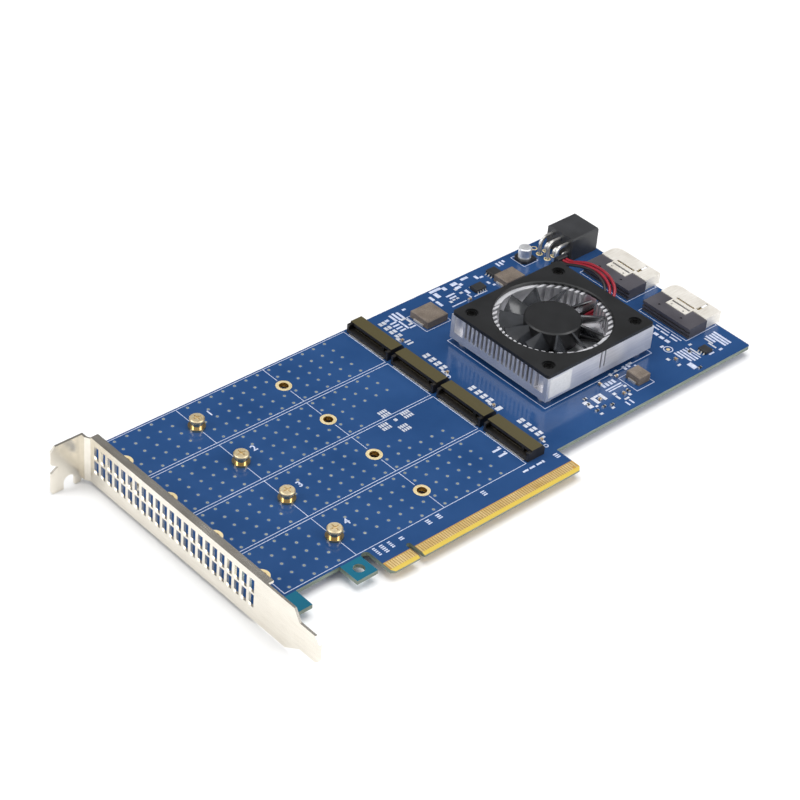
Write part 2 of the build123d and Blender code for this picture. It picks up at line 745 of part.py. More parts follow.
def heatsink():
    """Extruded aluminium fins on a base, bored out for the fan and slotted for its lead."""
    length = (SINK_LEFT, SINK_RIGHT)
    ends = ((SINK_NEAR, SINK_NEAR + SINK_END_WALL), (SINK_FAR - SINK_END_WALL, SINK_FAR))
    pieces = [block(length, (SINK_NEAR, SINK_FAR), (SINK_BASE_BOTTOM, FIN_FLOOR))]
    pieces.extend(block(length, wall, (FIN_FLOOR, SINK_TOP)) for wall in ends)
    between = ends[1][0] - ends[0][1]
    fins = int(between / FIN_PITCH)
    pitch = between / fins
    for index in range(fins):
        middle = ends[0][1] + (index + 0.5) * pitch
        fin = (middle - FIN_THICKNESS / 2, middle + FIN_THICKNESS / 2)
        pieces.append(block(length, fin, (FIN_FLOOR, SINK_TOP)))
    for x, y in cover_screws:
        half = CORNER_BLOCK / 2
        near = max(y - half, SINK_NEAR)
        far = min(y + half, SINK_FAR)
        pieces.append(block((x - half, x + half), (near, far), (FIN_FLOOR, SINK_TOP)))
    sink = fused(pieces)
    sink = sink - rod(*sink_middle, (POCKET_FLOOR, SINK_TOP + 1), pocket_radius)
    sink = sink - block(
        (sink_middle[0], SINK_RIGHT + 1),
        (channel_y - WIRE_CHANNEL / 2, channel_y + WIRE_CHANNEL / 2),
        (POCKET_FLOOR, SINK_TOP + 1),
    )
    for x in length:
        for y in (SINK_NEAR + SCOOP_INSET, SINK_FAR - SCOOP_INSET):
            sink = sink - rod(x, y, (SCOOP_BOTTOM, SINK_TOP + 1), SCOOP_RADIUS)
    for offset in (0, SLIT_SPACING):
        x = sink_middle[0] + offset
        sink = sink - block(
            (x - SLIT_WIDTH / 2, x + SLIT_WIDTH / 2),
            (SINK_NEAR - 1, sink_middle[1]),
            (SLIT_BOTTOM, SINK_TOP + 1),
        )
    for x, y in sink_screws:
        sink = sink + rod(x, y, (0, SINK_BASE_BOTTOM), SINK_BOSS_RADIUS)
        sink = sink - rod(x, y, (-1, SINK_SCREW_DEPTH), SINK_SCREW_RADIUS)
    for x, y in cover_screws:
        depth = COVER_SCREW_LENGTH - COVER_THICKNESS + COVER_RECESS_DEPTH
        sink = sink - rod(x, y, (SINK_TOP - depth, SINK_TOP + 1), COVER_SCREW_RADIUS)
    return sink


def heatsink_screws():
    """Screws from the solder side that pull the heat sink down on the chip."""
    screws = []
    for x, y in sink_screws:
        upright = pan_screw(
            0, 0, 0, SINK_SCREW_RADIUS, SINK_SCREW_HEAD_RADIUS, SINK_SCREW_HEAD,
            BOARD_THICKNESS + SINK_SCREW_DEPTH, SINK_SCREW_DRIVE,
        )
        screws.append(Pos(x, y, underside) * (Rot(180, 0, 0) * upright))
    return group(screws)


def fan_cover():
    """Moulded plate over the fins with the round air opening and four screw recesses."""
    plate = block((SINK_LEFT, SINK_RIGHT), (SINK_NEAR, SINK_FAR), (SINK_TOP, cover_top))
    plate = fillet(plate.edges().filter_by(Axis.Z), COVER_CORNER)
    plate = plate - rod(*sink_middle, (SINK_TOP - 1, cover_top + 1), cover_opening)
    rim = plate.edges().filter_by(GeomType.CIRCLE).filter_by(lambda edge: abs(edge.radius - cover_opening) < 0.01)
    plate = chamfer(rim.sort_by(Axis.Z)[-1], COVER_RIM_BEVEL)
    for x, y in cover_screws:
        plate = plate - rod(x, y, (cover_top - COVER_RECESS_DEPTH, cover_top + 1), COVER_RECESS_RADIUS)
        plate = plate - rod(x, y, (SINK_TOP - 1, cover_top), COVER_SCREW_RADIUS)
    return plate


def fan_cover_screws():
    """Small black screws that hold the cover to the heat sink."""
    seat = cover_top - COVER_RECESS_DEPTH
    return group(
        [
            pan_screw(
                x, y, seat, COVER_SCREW_RADIUS, COVER_SCREW_HEAD_RADIUS, COVER_SCREW_HEAD,
                COVER_SCREW_LENGTH, COVER_SCREW_DRIVE,
            )
            for x, y in cover_screws
        ]
    )


def fan_base():
    """Motor bracket on the pocket floor: a disc with the bearing boss and four arms."""
    x, y = sink_middle
    height = (POCKET_FLOOR, POCKET_FLOOR + FAN_BASE_THICKNESS)
    disc = rod(x, y, height, fan_base_radius)
    reach = pocket_radius - FAN_ARM_GAP
    root = boss_radius
    for index in range(FAN_ARMS):
        angle = (index + 0.5) * 360 / FAN_ARMS
        arm = block((root, reach), (-FAN_ARM_WIDTH / 2, FAN_ARM_WIDTH / 2), height)
        arm = arm & rod(0, 0, height, reach)
        disc = disc + Pos(x, y, 0) * (Rot(0, 0, angle) * arm)
    boss = rod(x, y, (POCKET_FLOOR, STATOR_TOP), boss_radius)
    return (disc + boss) - rod(x, y, (POCKET_FLOOR + BEARING_FLOOR, STATOR_TOP + 1), bearing_radius)


def fan_bearing():
    """Sintered sleeve that the rotor's shaft runs in."""
    x, y = sink_middle
    floor = POCKET_FLOOR + BEARING_FLOOR
    sleeve = rod(x, y, (floor, BEARING_TOP), bearing_radius)
    bore = SHAFT_RADIUS + SHAFT_CLEARANCE
    return sleeve - rod(x, y, (floor + BEARING_END, BEARING_TOP + 1), bore)


def fan_stator():
    """Laminated iron core with four flared poles."""
    x, y = sink_middle
    height = (STATOR_BOTTOM, STATOR_TOP)
    core = rod(0, 0, height, core_radius)
    rim = rod(0, 0, height, stator_radius) - rod(0, 0, height, shoe_radius)
    shoe = rim & block((0, stator_radius + 1), (-shoe_radius * SHOE_SHARE, shoe_radius * SHOE_SHARE), height)
    arm = block((0, (shoe_radius + stator_radius) / 2), (-pole_width / 2, pole_width / 2), height)
    for index in range(STATOR_POLES):
        core = core + Rot(0, 0, index * 360 / STATOR_POLES) * (arm + shoe)
    return Pos(x, y, 0) * (core - rod(0, 0, (STATOR_BOTTOM - 1, STATOR_TOP + 1), boss_radius))


def fan_windings():
    """Enamelled copper coils, one round each pole."""
    x, y = sink_middle
    half = stator_radius * COIL_SHARE
    near = core_radius + COIL_GAP
    far = sqrt(shoe_radius**2 - half**2) - COIL_GAP
    coil = block((near, far), (-half, half), (STATOR_BOTTOM - COIL_RISE, STATOR_TOP + COIL_RISE))
    coil = chamfer(coil.edges().filter_by(Axis.X), COIL_EDGE)
    coil = coil - block((near - 1, far + 1), (-pole_width / 2, pole_width / 2), (STATOR_BOTTOM, STATOR_TOP))
    turns = [Rot(0, 0, index * 360 / STATOR_POLES) for index in range(STATOR_POLES)]
    return group([Pos(x, y, 0) * (turn * coil) for turn in turns])


def fan_blade():
    """One blade: a pitched strip that flattens and leans forward towards its tip."""
    middle = (BLADE_BOTTOM + BLADE_TOP) / 2
    height = BLADE_TOP - BLADE_BOTTOM
    root = HUB_RADIUS - HUB_WALL / 2
    sections = []
    for radius, pitch, sweep in ((root, BLADE_ROOT_PITCH, 0), (blade_tip, BLADE_TIP_PITCH, BLADE_SWEEP)):
        chord = height / sin(radians(pitch))
        place = Plane(origin=(radius, 0, middle), x_dir=(0, 1, 0), z_dir=(1, 0, 0))
        section = place * (Rot(0, 0, -pitch) * Rectangle(chord, BLADE_THICKNESS))
        sections.append(Rot(0, 0, -sweep) * section)
    blade = loft(sections, ruled=True)
    swept = (BLADE_BOTTOM, BLADE_TOP)
    band = rod(0, 0, swept, blade_tip) - rod(0, 0, swept, root)
    return blade & band


def fan_rotor():
    """Moulded impeller: a hub cup with pitched blades and the seat for its shaft."""
    cup = rod(0, 0, (HUB_BOTTOM, HUB_TOP), HUB_RADIUS)
    cup = chamfer(cup.edges().sort_by(Axis.Z)[-1], HUB_EDGE)
    cup = cup - rod(0, 0, (HUB_BOTTOM - 1, HUB_TOP - HUB_ROOF), HUB_RADIUS - HUB_WALL)
    blade = fan_blade()
    for index in range(BLADE_COUNT):
        cup = cup + Rot(0, 0, BLADE_START + index * 360 / BLADE_COUNT) * blade
    cup = cup - rod(0, 0, (HUB_TOP - HUB_ROOF - 1, HUB_TOP - SHAFT_COVER), SHAFT_RADIUS)
    return Pos(sink_middle[0], sink_middle[1], 0) * cup


def fan_shaft():
    """Ground steel pin pressed into the hub."""
    x, y = sink_middle
    foot = POCKET_FLOOR + BEARING_FLOOR + BEARING_END + SHAFT_END_PLAY
    return rod(x, y, (foot, HUB_TOP - SHAFT_COVER), SHAFT_RADIUS)


def fan_magnet():
    """Ring magnet bonded inside the hub."""
    x, y = sink_middle
    outer = HUB_RADIUS - HUB_WALL
    ring = rod(x, y, (MAGNET_BOTTOM, MAGNET_TOP), outer)
    return ring - rod(x, y, (MAGNET_BOTTOM - 1, MAGNET_TOP + 1), outer - MAGNET_THICKNESS)


def fan_header():
    """Three-way header for the fan's lead: a low shroud with its floor on the board."""
    x = (HEADER_X - HEADER_WIDTH / 2, HEADER_X + HEADER_WIDTH / 2)
    y = (header_near, header_near + HEADER_DEPTH)
    shroud = block(x, y, (0, HEADER_HEIGHT))
    inside_x = (x[0] + HEADER_WALL, x[1] - HEADER_WALL)
    inside_y = (y[0] + HEADER_WALL, y[1] - HEADER_WALL)
    return shroud - block(inside_x, inside_y, (HEADER_FLOOR, HEADER_HEIGHT + 1))


def fan_plug():
    """Crimp housing on the end of the fan's lead, pushed down into the header."""
    side = HEADER_WALL + PLUG_CLEARANCE
    x = (HEADER_X - HEADER_WIDTH / 2 + side, HEADER_X + HEADER_WIDTH / 2 - side)
    y = (header_near + side, header_near + HEADER_DEPTH - side)
    plug = block(x, y, (HEADER_FLOOR, PLUG_TOP))
    return chamfer(plug.edges().filter_by(Axis.X).sort_by(Axis.Z)[-2:], HEADER_WALL / 2)


def wire_routes():
    """Hand-chosen points of the three strands, side by side from the motor to the plug."""
    inner = sink_middle[0] + fan_base_radius + LEAD_GAP
    plug_face = header_near + HEADER_WALL + PLUG_CLEARANCE - LEAD_GAP
    outlet = (SINK_RIGHT, channel_y, POCKET_FLOOR)
    socket = (HEADER_X, header_near, 0)
    routes = []
    for lane, (bends, drop) in zip((-1, 0, 1), LEAD_BENDS):
        y = channel_y + lane * LEAD_PITCH
        level = POCKET_FLOOR + LEAD_REST
        route = [(inner, y, level), (SINK_RIGHT - LEAD_GAP, y, level)]
        route.extend((outlet[0] + x, outlet[1] + y, outlet[2] + z) for x, y, z in bends)
        route.extend((socket[0] + x, socket[1] + y, socket[2] + z) for x, y, z in drop)
        route.append((HEADER_X - lane * LEAD_PITCH, plug_face, LEAD_HEIGHT))
        routes.append(route)
    return routes


def fan_wire(points):
    """One insulated strand: straight runs joined by arcs as large as the runs allow."""
    corners = [Vector(*point) for point in points]
    radii = []
    for before, here, after in zip(corners, corners[1:], corners[2:]):
        turn = radians((here - before).get_angle(after - here))
        shorter = min((here - before).length, (after - here).length)
        radii.append(BEND_SHARE * shorter / tan(turn / 2))
    path = FilletPolyline(*corners, radius=radii)
    start = Plane(origin=path @ 0, z_dir=path % 0)
    wire = sweep(start * Circle(WIRE_DIAMETER / 2), path=path)
    print("wire length", round(path.length, 1), "smallest radius", round(min(radii), 1),
          "volume ratio", round(wire.volume / (pi * WIRE_DIAMETER**2 / 4 * path.length), 3))
    return wire


def power_housing():
    """Six-way moulded power socket whose mouth looks out over the board's far end."""
    far = POWER_NEAR + POWER_WIDTH
    housing = block((POWER_LEFT, POWER_RIGHT), (POWER_NEAR, far), (0, POWER_HEIGHT))
    upright = housing.edges().filter_by(Axis.X).sort_by(Axis.Z)[-2:]
    housing = chamfer(upright, POWER_EDGE)
    half = POWER_CAVITY / 2
    for y in power_columns:
        for z in POWER_ROWS:
            housing = housing - block(
                (POWER_RIGHT - POWER_CAVITY_DEPTH, POWER_RIGHT + 1), (y - half, y + half), (z - half, z + half)
            )
            housing = housing - block(
                (POWER_LEFT - 1, POWER_RIGHT), (y - POWER_PIN / 2, y + POWER_PIN / 2),
                (z - POWER_PIN / 2, z + POWER_PIN / 2),
            )
    return housing


def power_pins():
    """Six square pins that leave the back of the socket and curve down through the board."""
    tip = POWER_RIGHT - POWER_TIP_DEPTH
    pins = []
    for y in power_columns:
        for z, foot, bend in zip(POWER_ROWS, POWER_FEET, POWER_BENDS):
            path = FilletPolyline(
                (foot, y, underside - POWER_PIN_TAIL), (foot, y, z), (tip, y, z), radius=bend
            )
            start = Plane(origin=path @ 0, x_dir=(1, 0, 0), z_dir=path % 0)
            pins.append(sweep(start * Rectangle(POWER_PIN, POWER_PIN), path=path))
    return group(pins)


def storage_body(near):
    """Moulded back of a storage socket, grooved behind and slotted for its contact wafer."""
    y = (near, near + STORAGE_WIDTH)
    body = block((STORAGE_LEFT, STORAGE_RIGHT), y, (0, STORAGE_HEIGHT))
    for groove in STORAGE_GROOVES:
        body = body - block((STORAGE_LEFT - 1, STORAGE_LEFT + STORAGE_GROOVE), (y[0] - 1, y[1] + 1), groove)
    for place in EJECTOR_MARKS:
        mark = (STORAGE_HEIGHT - EJECTOR_MARK_RADIUS, STORAGE_HEIGHT + 1)
        body = body - rod(EJECTOR_MARK_X, near + place, mark, EJECTOR_MARK_RADIUS)
    middle = near + STORAGE_WIDTH / 2
    return body - block(
        (STORAGE_RIGHT - WAFER_SEAT, STORAGE_RIGHT + 1),
        (middle - WAFER_WIDTH / 2, middle + WAFER_WIDTH / 2),
        (WAFER_BOTTOM, WAFER_BOTTOM + WAFER_THICKNESS),
    )


def storage_wafer(near):
    """Thin moulded tongue in the mouth of a storage socket."""
    middle = near + STORAGE_WIDTH / 2
    return block(
        (STORAGE_RIGHT - WAFER_SEAT, STORAGE_SHELL_RIGHT - WAFER_SETBACK),
        (middle - WAFER_WIDTH / 2, middle + WAFER_WIDTH / 2),
        (WAFER_BOTTOM, WAFER_BOTTOM + WAFER_THICKNESS),
    )


def storage_contacts():
    """Gold contacts on both faces of the two wafers."""
    pads = []
    top = WAFER_BOTTOM + WAFER_THICKNESS
    for near in STORAGE_NEAR:
        middle = near + STORAGE_WIDTH / 2
        for index in range(STORAGE_PADS):
            y = middle + (index - (STORAGE_PADS - 1) / 2) * STORAGE_PAD_PITCH
            x = (STORAGE_RIGHT + STORAGE_PAD_INSET, STORAGE_SHELL_RIGHT - WAFER_SETBACK - STORAGE_PAD_INSET)
            width = (y - STORAGE_PAD_PITCH / 4, y + STORAGE_PAD_PITCH / 4)
            pads.append(block(x, width, (top, top + CONTACT_THICKNESS)))
            pads.append(block(x, width, (WAFER_BOTTOM - CONTACT_THICKNESS, WAFER_BOTTOM)))
    return group(pads)


def storage_shell(near):
    """Stamped sleeve round the socket's mouth, with the latch tongue lying on the body."""
    skin = SHELL_THICKNESS
    y = (near + SHELL_INSET, near + STORAGE_WIDTH - skin)
    x = (STORAGE_RIGHT, STORAGE_SHELL_RIGHT)
    top = STORAGE_HEIGHT + skin
    sleeve = block(x, (y[0] - skin, y[1] + skin), (0, top))
    inside = block((x[0] - 1, x[1] + 1), y, (skin, STORAGE_HEIGHT))
    centre = (x[1] - SHELL_CORNER, y[1] + skin - SHELL_CORNER)
    corner = block((centre[0], x[1] + 1), (centre[1], y[1] + 2 * skin), (-1, top + 1))
    corner = corner - rod(*centre, (-2, top + 2), SHELL_CORNER)
    sleeve = (sleeve - inside) - corner
    latch = (near + LATCH_PLACE, near + LATCH_PLACE + LATCH_WIDTH)
    latch_left = STORAGE_RIGHT - LATCH_REACH
    tongue = block((latch_left, STORAGE_RIGHT), latch, (STORAGE_HEIGHT, top))
    above = (STORAGE_HEIGHT - skin / 3, top + 1)
    across = (latch[0] + LATCH_BORDER, latch[1] - LATCH_BORDER)
    window = block((STORAGE_RIGHT + LATCH_WINDOW[0], STORAGE_RIGHT + LATCH_WINDOW[1]), across, above)
    shoulder = block((STORAGE_RIGHT + LATCH_SHOULDER[0], STORAGE_RIGHT + LATCH_SHOULDER[1]), across, above)
    slot_y = (latch[0] - SHELL_SLOT_WIDTH, latch[0])
    slot = block((STORAGE_RIGHT + SHELL_SLOT[0], STORAGE_RIGHT + SHELL_SLOT[1]), slot_y, above)
    sleeve = ((sleeve + tongue) - window) - (shoulder + slot)
    for place in (latch[0] + LATCH_HOLE_INSET, latch[1] - LATCH_HOLE_INSET):
        sleeve = sleeve - rod(latch_left + LATCH_REACH / 4, place, above, LATCH_HOLE_RADIUS)
    return sleeve


def capacitor_base():
    """Moulded foot of the electrolytic capacitor, two of its corners cut off."""
    half = CAN_SEAT / 2
    foot = block((CAN_X - half, CAN_X + half), (CAN_Y - half, CAN_Y + half), (0, CAN_BASE))
    cut = foot.edges().filter_by(Axis.Z).sort_by(Axis.X)[:2]
    return chamfer(cut, CAN_CROP)


def capacitor_can():
    """Aluminium can, rolled in near its foot and rounded over at the top."""
    can = rod(CAN_X, CAN_Y, (CAN_BASE, CAN_HEIGHT), CAN_RADIUS)
    can = fillet(can.edges().sort_by(Axis.Z)[-1], CAN_GROOVE)
    groove = (CAN_BASE + CAN_GROOVE, CAN_BASE + 2 * CAN_GROOVE)
    ring = rod(CAN_X, CAN_Y, groove, CAN_RADIUS + 1) - rod(CAN_X, CAN_Y, groove, CAN_RADIUS - CAN_GROOVE_DEPTH)
    return can - ring


def inductor(x, y, height):
    """Pressed powder choke: a square block with softened top edges."""
    choke = block(x, y, (0, height))
    return chamfer(choke.faces().sort_by(Axis.Z)[-1].edges(), CHOKE_EDGE)


def package(x, y, height, turned):
    """Moulded chip body, raised on its legs."""
    body = block(x, y, (PACKAGE_CLEARANCE, height))
    sides = body.faces().sort_by(Axis.Z)[-1].edges().filter_by(Axis.X if turned else Axis.Y)
    return chamfer(sides, PACKAGE_CLEARANCE)


def legs(x, y, height, turned):
    """Bent legs along two opposite sides of a chip body."""
    made = []
    along = x if turned else y
    across = y if turned else x
    count = round((along[1] - along[0]) / LEG_PITCH)
    pitch = (along[1] - along[0]) / count
    for index in range(count):
        middle = along[0] + (index + 0.5) * pitch
        width = (middle - LEG_WIDTH / 2, middle + LEG_WIDTH / 2)
        for edge, outward in ((across[0], -1), (across[1], 1)):
            foot = sorted((edge + outward * LEG_RISE, edge + outward * LEG_REACH))
            rise = sorted((edge, edge + outward * LEG_RISE))
            for limits, top in ((foot, LEG_THICKNESS), (rise, height / 2)):
                made.append(block(width, limits, (0, top)) if turned else block(limits, width, (0, top)))
            made[-2:] = [made[-2] + made[-1]]
    return made


def chip(x, y, turned, height):
    """Body and the two plated ends of a chip capacitor or resistor."""
    long = CHIP_LENGTH / 2
    wide = CHIP_WIDTH / 2
    inner = long - CHIP_END
    if turned:
        body = block((x - wide, x + wide), (y - inner, y + inner), (0, height))
        ends = [block((x - wide, x + wide), (y + side, y + side + CHIP_END), (0, height)) for side in (-long, inner)]
    else:
        body = block((x - inner, x + inner), (y - wide, y + wide), (0, height))
        ends = [block((x + side, x + side + CHIP_END), (y - wide, y + wide), (0, height)) for side in (-long, inner)]
    return body, ends


chip_places = []
for near in module_near:
    chip_places.append((SOCKET_CHIP_X, near + SOCKET_CHIP_Y, False, CAPACITOR_HEIGHT))
for x, y, turned, height in LOOSE_CHIPS:
    chip_places.append((x, y, turned, height))

capacitors = []
resistors = []
terminals = []
for x, y, turned, height in chip_places:
    body, ends = chip(x, y, turned, height)
    terminals.extend(ends)
    if height == CAPACITOR_HEIGHT:
        capacitors.append(body)
    else:
        resistors.append(body)

nodes = {
    "circuit_board": circuit_board(),
    "edge_contacts": edge_contacts(),
    "bracket": bracket(),
    "bracket_screws": bracket_screws(),
    "pad_rings": pad_rings(),
    "module_posts": module_posts(),
    "module_screws": module_screws(),
    "switch_chip": switch_chip(),
    "thermal_pad": thermal_pad(),
    "heatsink": heatsink(),
    "heatsink_screws": heatsink_screws(),
    "fan_cover": fan_cover(),
    "fan_cover_screws": fan_cover_screws(),
    "fan_base": fan_base(),
    "fan_bearing": fan_bearing(),
    "fan_stator": fan_stator(),
    "fan_windings": fan_windings(),
    "fan_rotor": fan_rotor(),
    "fan_shaft": fan_shaft(),
    "fan_magnet": fan_magnet(),
    "fan_header": fan_header(),
    "fan_plug": fan_plug(),
    "power_housing": power_housing(),
    "power_pins": power_pins(),
    "storage_contacts": storage_contacts(),
    "capacitor_base": capacitor_base(),
    "capacitor_can": capacitor_can(),
    "chip_packages": group([package(*entry) for entry in PACKAGES]),
    "chip_leads": group([leg for entry in PACKAGES for leg in legs(*entry)]),
    "ceramic_capacitors": group(capacitors),
    "chip_resistors": group(resistors),
    "chip_terminals": group(terminals),
}
for index, near in enumerate(module_near, start=1):
    nodes[f"module_socket_{index}"] = module_socket(near)
    nodes[f"module_contacts_{index}"] = module_contacts(near)
for index, near in enumerate(STORAGE_NEAR, start=1):
    nodes[f"storage_body_{index}"] = storage_body(near)
    nodes[f"storage_shell_{index}"] = storage_shell(near)
    nodes[f"storage_wafer_{index}"] = storage_wafer(near)
for index, points in enumerate(wire_routes(), start=1):
    nodes[f"fan_wire_{index}"] = fan_wire(points)
for index, place in enumerate(INDUCTORS, start=1):
    nodes[f"inductor_{index}"] = inductor(*place)

os.makedirs("parts", exist_ok=True)
for name, shape in nodes.items():
    export_step(shape, f"parts/{name}.step")
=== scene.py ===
"""Looks of the drive adapter card."""
import math

import bmesh
import bpy
from mathutils import Matrix, Vector


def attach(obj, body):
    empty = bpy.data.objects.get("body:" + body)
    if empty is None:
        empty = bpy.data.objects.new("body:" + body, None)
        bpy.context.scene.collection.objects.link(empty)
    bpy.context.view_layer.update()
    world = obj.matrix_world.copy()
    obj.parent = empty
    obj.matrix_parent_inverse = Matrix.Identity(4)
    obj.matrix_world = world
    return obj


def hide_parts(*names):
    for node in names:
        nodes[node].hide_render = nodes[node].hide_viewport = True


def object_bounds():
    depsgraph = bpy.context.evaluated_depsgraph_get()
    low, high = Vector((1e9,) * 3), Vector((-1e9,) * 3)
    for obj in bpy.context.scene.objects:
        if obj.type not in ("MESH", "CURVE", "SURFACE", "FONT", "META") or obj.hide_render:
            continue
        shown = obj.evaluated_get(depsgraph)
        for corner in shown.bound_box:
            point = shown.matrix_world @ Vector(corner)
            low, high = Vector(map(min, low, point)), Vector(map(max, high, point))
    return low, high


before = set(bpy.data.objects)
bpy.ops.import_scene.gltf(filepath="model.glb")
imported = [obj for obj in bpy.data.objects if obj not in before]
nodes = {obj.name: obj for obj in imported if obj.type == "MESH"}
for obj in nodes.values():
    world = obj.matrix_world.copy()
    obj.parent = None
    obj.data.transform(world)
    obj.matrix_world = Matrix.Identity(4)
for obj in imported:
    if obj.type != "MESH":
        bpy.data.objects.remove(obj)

cad_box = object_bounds()
MM = 0.001


# Camera, floor and light
# The card lies on a white table under soft light. The table is bright all round it, and the
# far side of the room is dim, which is what the level faces of its bright metal show.
CAMERA_PLACE = Vector((-0.40522, -0.38455, 0.48809))
CAMERA_RIGHT = Vector((0.73946, -0.66937, 0.07174))
CAMERA_UP = Vector((0.36655, 0.48972, 0.79108))
CAMERA_BACK = Vector((-0.56466, -0.55868, 0.60748))
LENS_MM = 105.22
SENSOR_MM = 36.0
CAMERA_REACH = 30.0
TABLE_GAP = 0.2 * MM
TABLE_HEIGHT = cad_box[0][2] - TABLE_GAP
TABLE_HALF = 6.0
FAR_CORNER = (0.62, 0.62, -0.48)
WALL_TONES = ((0.0, "#F2F3F5"), (0.25, "#A7A7AA"), (0.55, "#55524C"), (1.0, "#4A4743"))
ROOM_STRENGTH = 0.6
# softboxes: name, place, what it is aimed at, width, power
SOFTBOXES = (
    ("overhead", (0.1, 0.12, 1.15), (0.05, 0.05, 0), 0.95, 9.6),
    ("left", (-1.0, 0.5, 0.8), (0.0, 0.05, 0), 0.6, 4.6),
    ("right", (0.6, -0.9, 0.8), (0.05, 0.05, 0), 0.6, 4.6),
)


def linear(code):
    """Linear colour of an sRGB hex code."""
    channels = [int(code[start:start + 2], 16) / 255 for start in (1, 3, 5)]
    return tuple(c / 12.92 if c <= 0.04045 else ((c + 0.055) / 1.055) ** 2.4 for c in channels) + (1.0,)


def add_node(tree, kind, inputs=None, **settings):
    """Adds a node to a tree, sets its settings, and sets or links its inputs."""
    added = tree.nodes.new(kind)
    for name, value in settings.items():
        setattr(added, name, value)
    for key, value in (inputs or {}).items():
        if isinstance(value, bpy.types.NodeSocket):
            tree.links.new(value, added.inputs[key])
        else:
            added.inputs[key].default_value = value
    return added


def new_material(name):
    """An empty material, and its node tree."""
    material = bpy.data.materials.new(name)
    material.use_nodes = True
    material.node_tree.nodes.clear()
    return material, material.node_tree


def graded(tree, factor, stops):
    """A colour that runs through the given positions and sRGB codes."""
    ramp = add_node(tree, "ShaderNodeValToRGB", {"Fac": factor})
    elements = ramp.color_ramp.elements
    while len(elements) < len(stops):
        elements.new(1.0)
    for element, (position, code) in zip(elements, stops):
        element.position = position
        element.color = linear(code)
    return ramp.outputs["Color"]


def mesh_object(name, vertices, faces, material=None):
    """An object at the origin made of the given vertices, in metres, and faces."""
    mesh = bpy.data.meshes.new(name)
    mesh.from_pydata(vertices, [], faces)
    mesh.update()
    made = bpy.data.objects.new(name, mesh)
    bpy.context.scene.collection.objects.link(made)
    if material:
        mesh.materials.append(material)
    return made


camera_data = bpy.data.cameras.new("camera")
camera_data.lens = LENS_MM
camera_data.sensor_width = SENSOR_MM
camera_data.clip_end = CAMERA_REACH
camera = bpy.data.objects.new("camera", camera_data)
bpy.context.scene.collection.objects.link(camera)
turn = Matrix((CAMERA_RIGHT, CAMERA_UP, CAMERA_BACK)).transposed().to_4x4()
camera.matrix_world = Matrix.Translation(CAMERA_PLACE) @ turn
bpy.context.scene.camera = camera
bpy.context.scene.view_settings.view_transform = "Standard"

table_paper, tree = new_material("table_paper")
coords = add_node(tree, "ShaderNodeTexCoord")
mottle = add_node(tree, "ShaderNodeTexNoise", {"Vector": coords.outputs["Object"], "Scale": 1 / (333 * MM)})
tone = graded(tree, mottle.outputs["Fac"], ((0.0, "#F8F8F8"), (1.0, "#FDFDFD")))
paper = add_node(tree, "ShaderNodeBsdfPrincipled", {"Base Color": tone, "Roughness": 0.9})
add_node(tree, "ShaderNodeOutputMaterial", {"Surface": paper.outputs["BSDF"]})
table_corners = [
    (x * TABLE_HALF, y * TABLE_HALF, TABLE_HEIGHT) for x, y in ((-1, -1), (1, -1), (1, 1), (-1, 1))
]
table = mesh_object("table", table_corners, [(0, 1, 2, 3)], table_paper)

# the room: how far a direction leans to the far corner picks its tone
world = bpy.data.worlds.new("room")
world.use_nodes = True
world.node_tree.nodes.clear()
tree = world.node_tree
view = add_node(tree, "ShaderNodeTexCoord")
lean = add_node(tree, "ShaderNodeVectorMath", {
    0: view.outputs["Generated"], 1: FAR_CORNER,
}, operation="DOT_PRODUCT")
walls = graded(tree, lean.outputs["Value"], WALL_TONES)
sky = add_node(tree, "ShaderNodeBackground", {"Color": walls, "Strength": ROOM_STRENGTH})
add_node(tree, "ShaderNodeOutputWorld", {"Surface": sky.outputs["Background"]})
bpy.context.scene.world = world

for name, place, aim, width, power in SOFTBOXES:
    light = bpy.data.lights.new(name, "AREA")
    light.shape = "SQUARE"
    light.size = width
    light.energy = power
    lamp = bpy.data.objects.new(name, light)
    bpy.context.scene.collection.objects.link(lamp)
    lamp.location = place
    lamp.rotation_euler = (Vector(aim) - Vector(place)).to_track_quat("-Z", "Y").to_euler()


# Fan lead
# Three PVC-insulated strands run from the motor through the slot in the fins, rise over the
# board and drop into the plug. They are stiff enough to hold the bends they were given.
WIRE_DIAMETER = 1.2 * MM
WIRE_LENGTHS = (55.9 * MM, 53.2 * MM, 50.7 * MM)
WIRE_COLOURS = ("red", "red", "black")
WIRE_ROUTES = (
    (
        (122.4, 54.7, 5.3), (138.75, 54.7, 5.3), (143.6, 55.1, 6.8), (148.0, 58.0, 8.9), (150.5, 63.1, 10.0),
        (151.6, 69.2, 10.1), (151.5, 75.4, 9.2), (150.9, 79.8, 7.4), (150.8, 82.9, 5.8), (150.8, 85.65, 5.6),
    ),
    (
        (122.4, 56.2, 5.3), (138.75, 56.2, 5.3), (143.0, 56.6, 6.7), (146.8, 59.4, 8.5), (149.1, 64.1, 9.5),
        (150.2, 69.8, 9.6), (149.9, 75.2, 8.9), (149.4, 79.8, 7.2), (149.3, 82.9, 5.6), (149.3, 85.65, 5.6),
    ),
    (
        (122.4, 57.7, 5.3), (138.75, 57.7, 5.3), (142.4, 58.1, 6.9), (145.6, 60.8, 8.7), (147.7, 65.1, 9.6),
        (148.8, 70.5, 9.7), (148.4, 75.0, 9.0), (147.9, 79.8, 7.4), (147.8, 82.9, 5.8), (147.8, 85.65, 5.6),
    ),
)


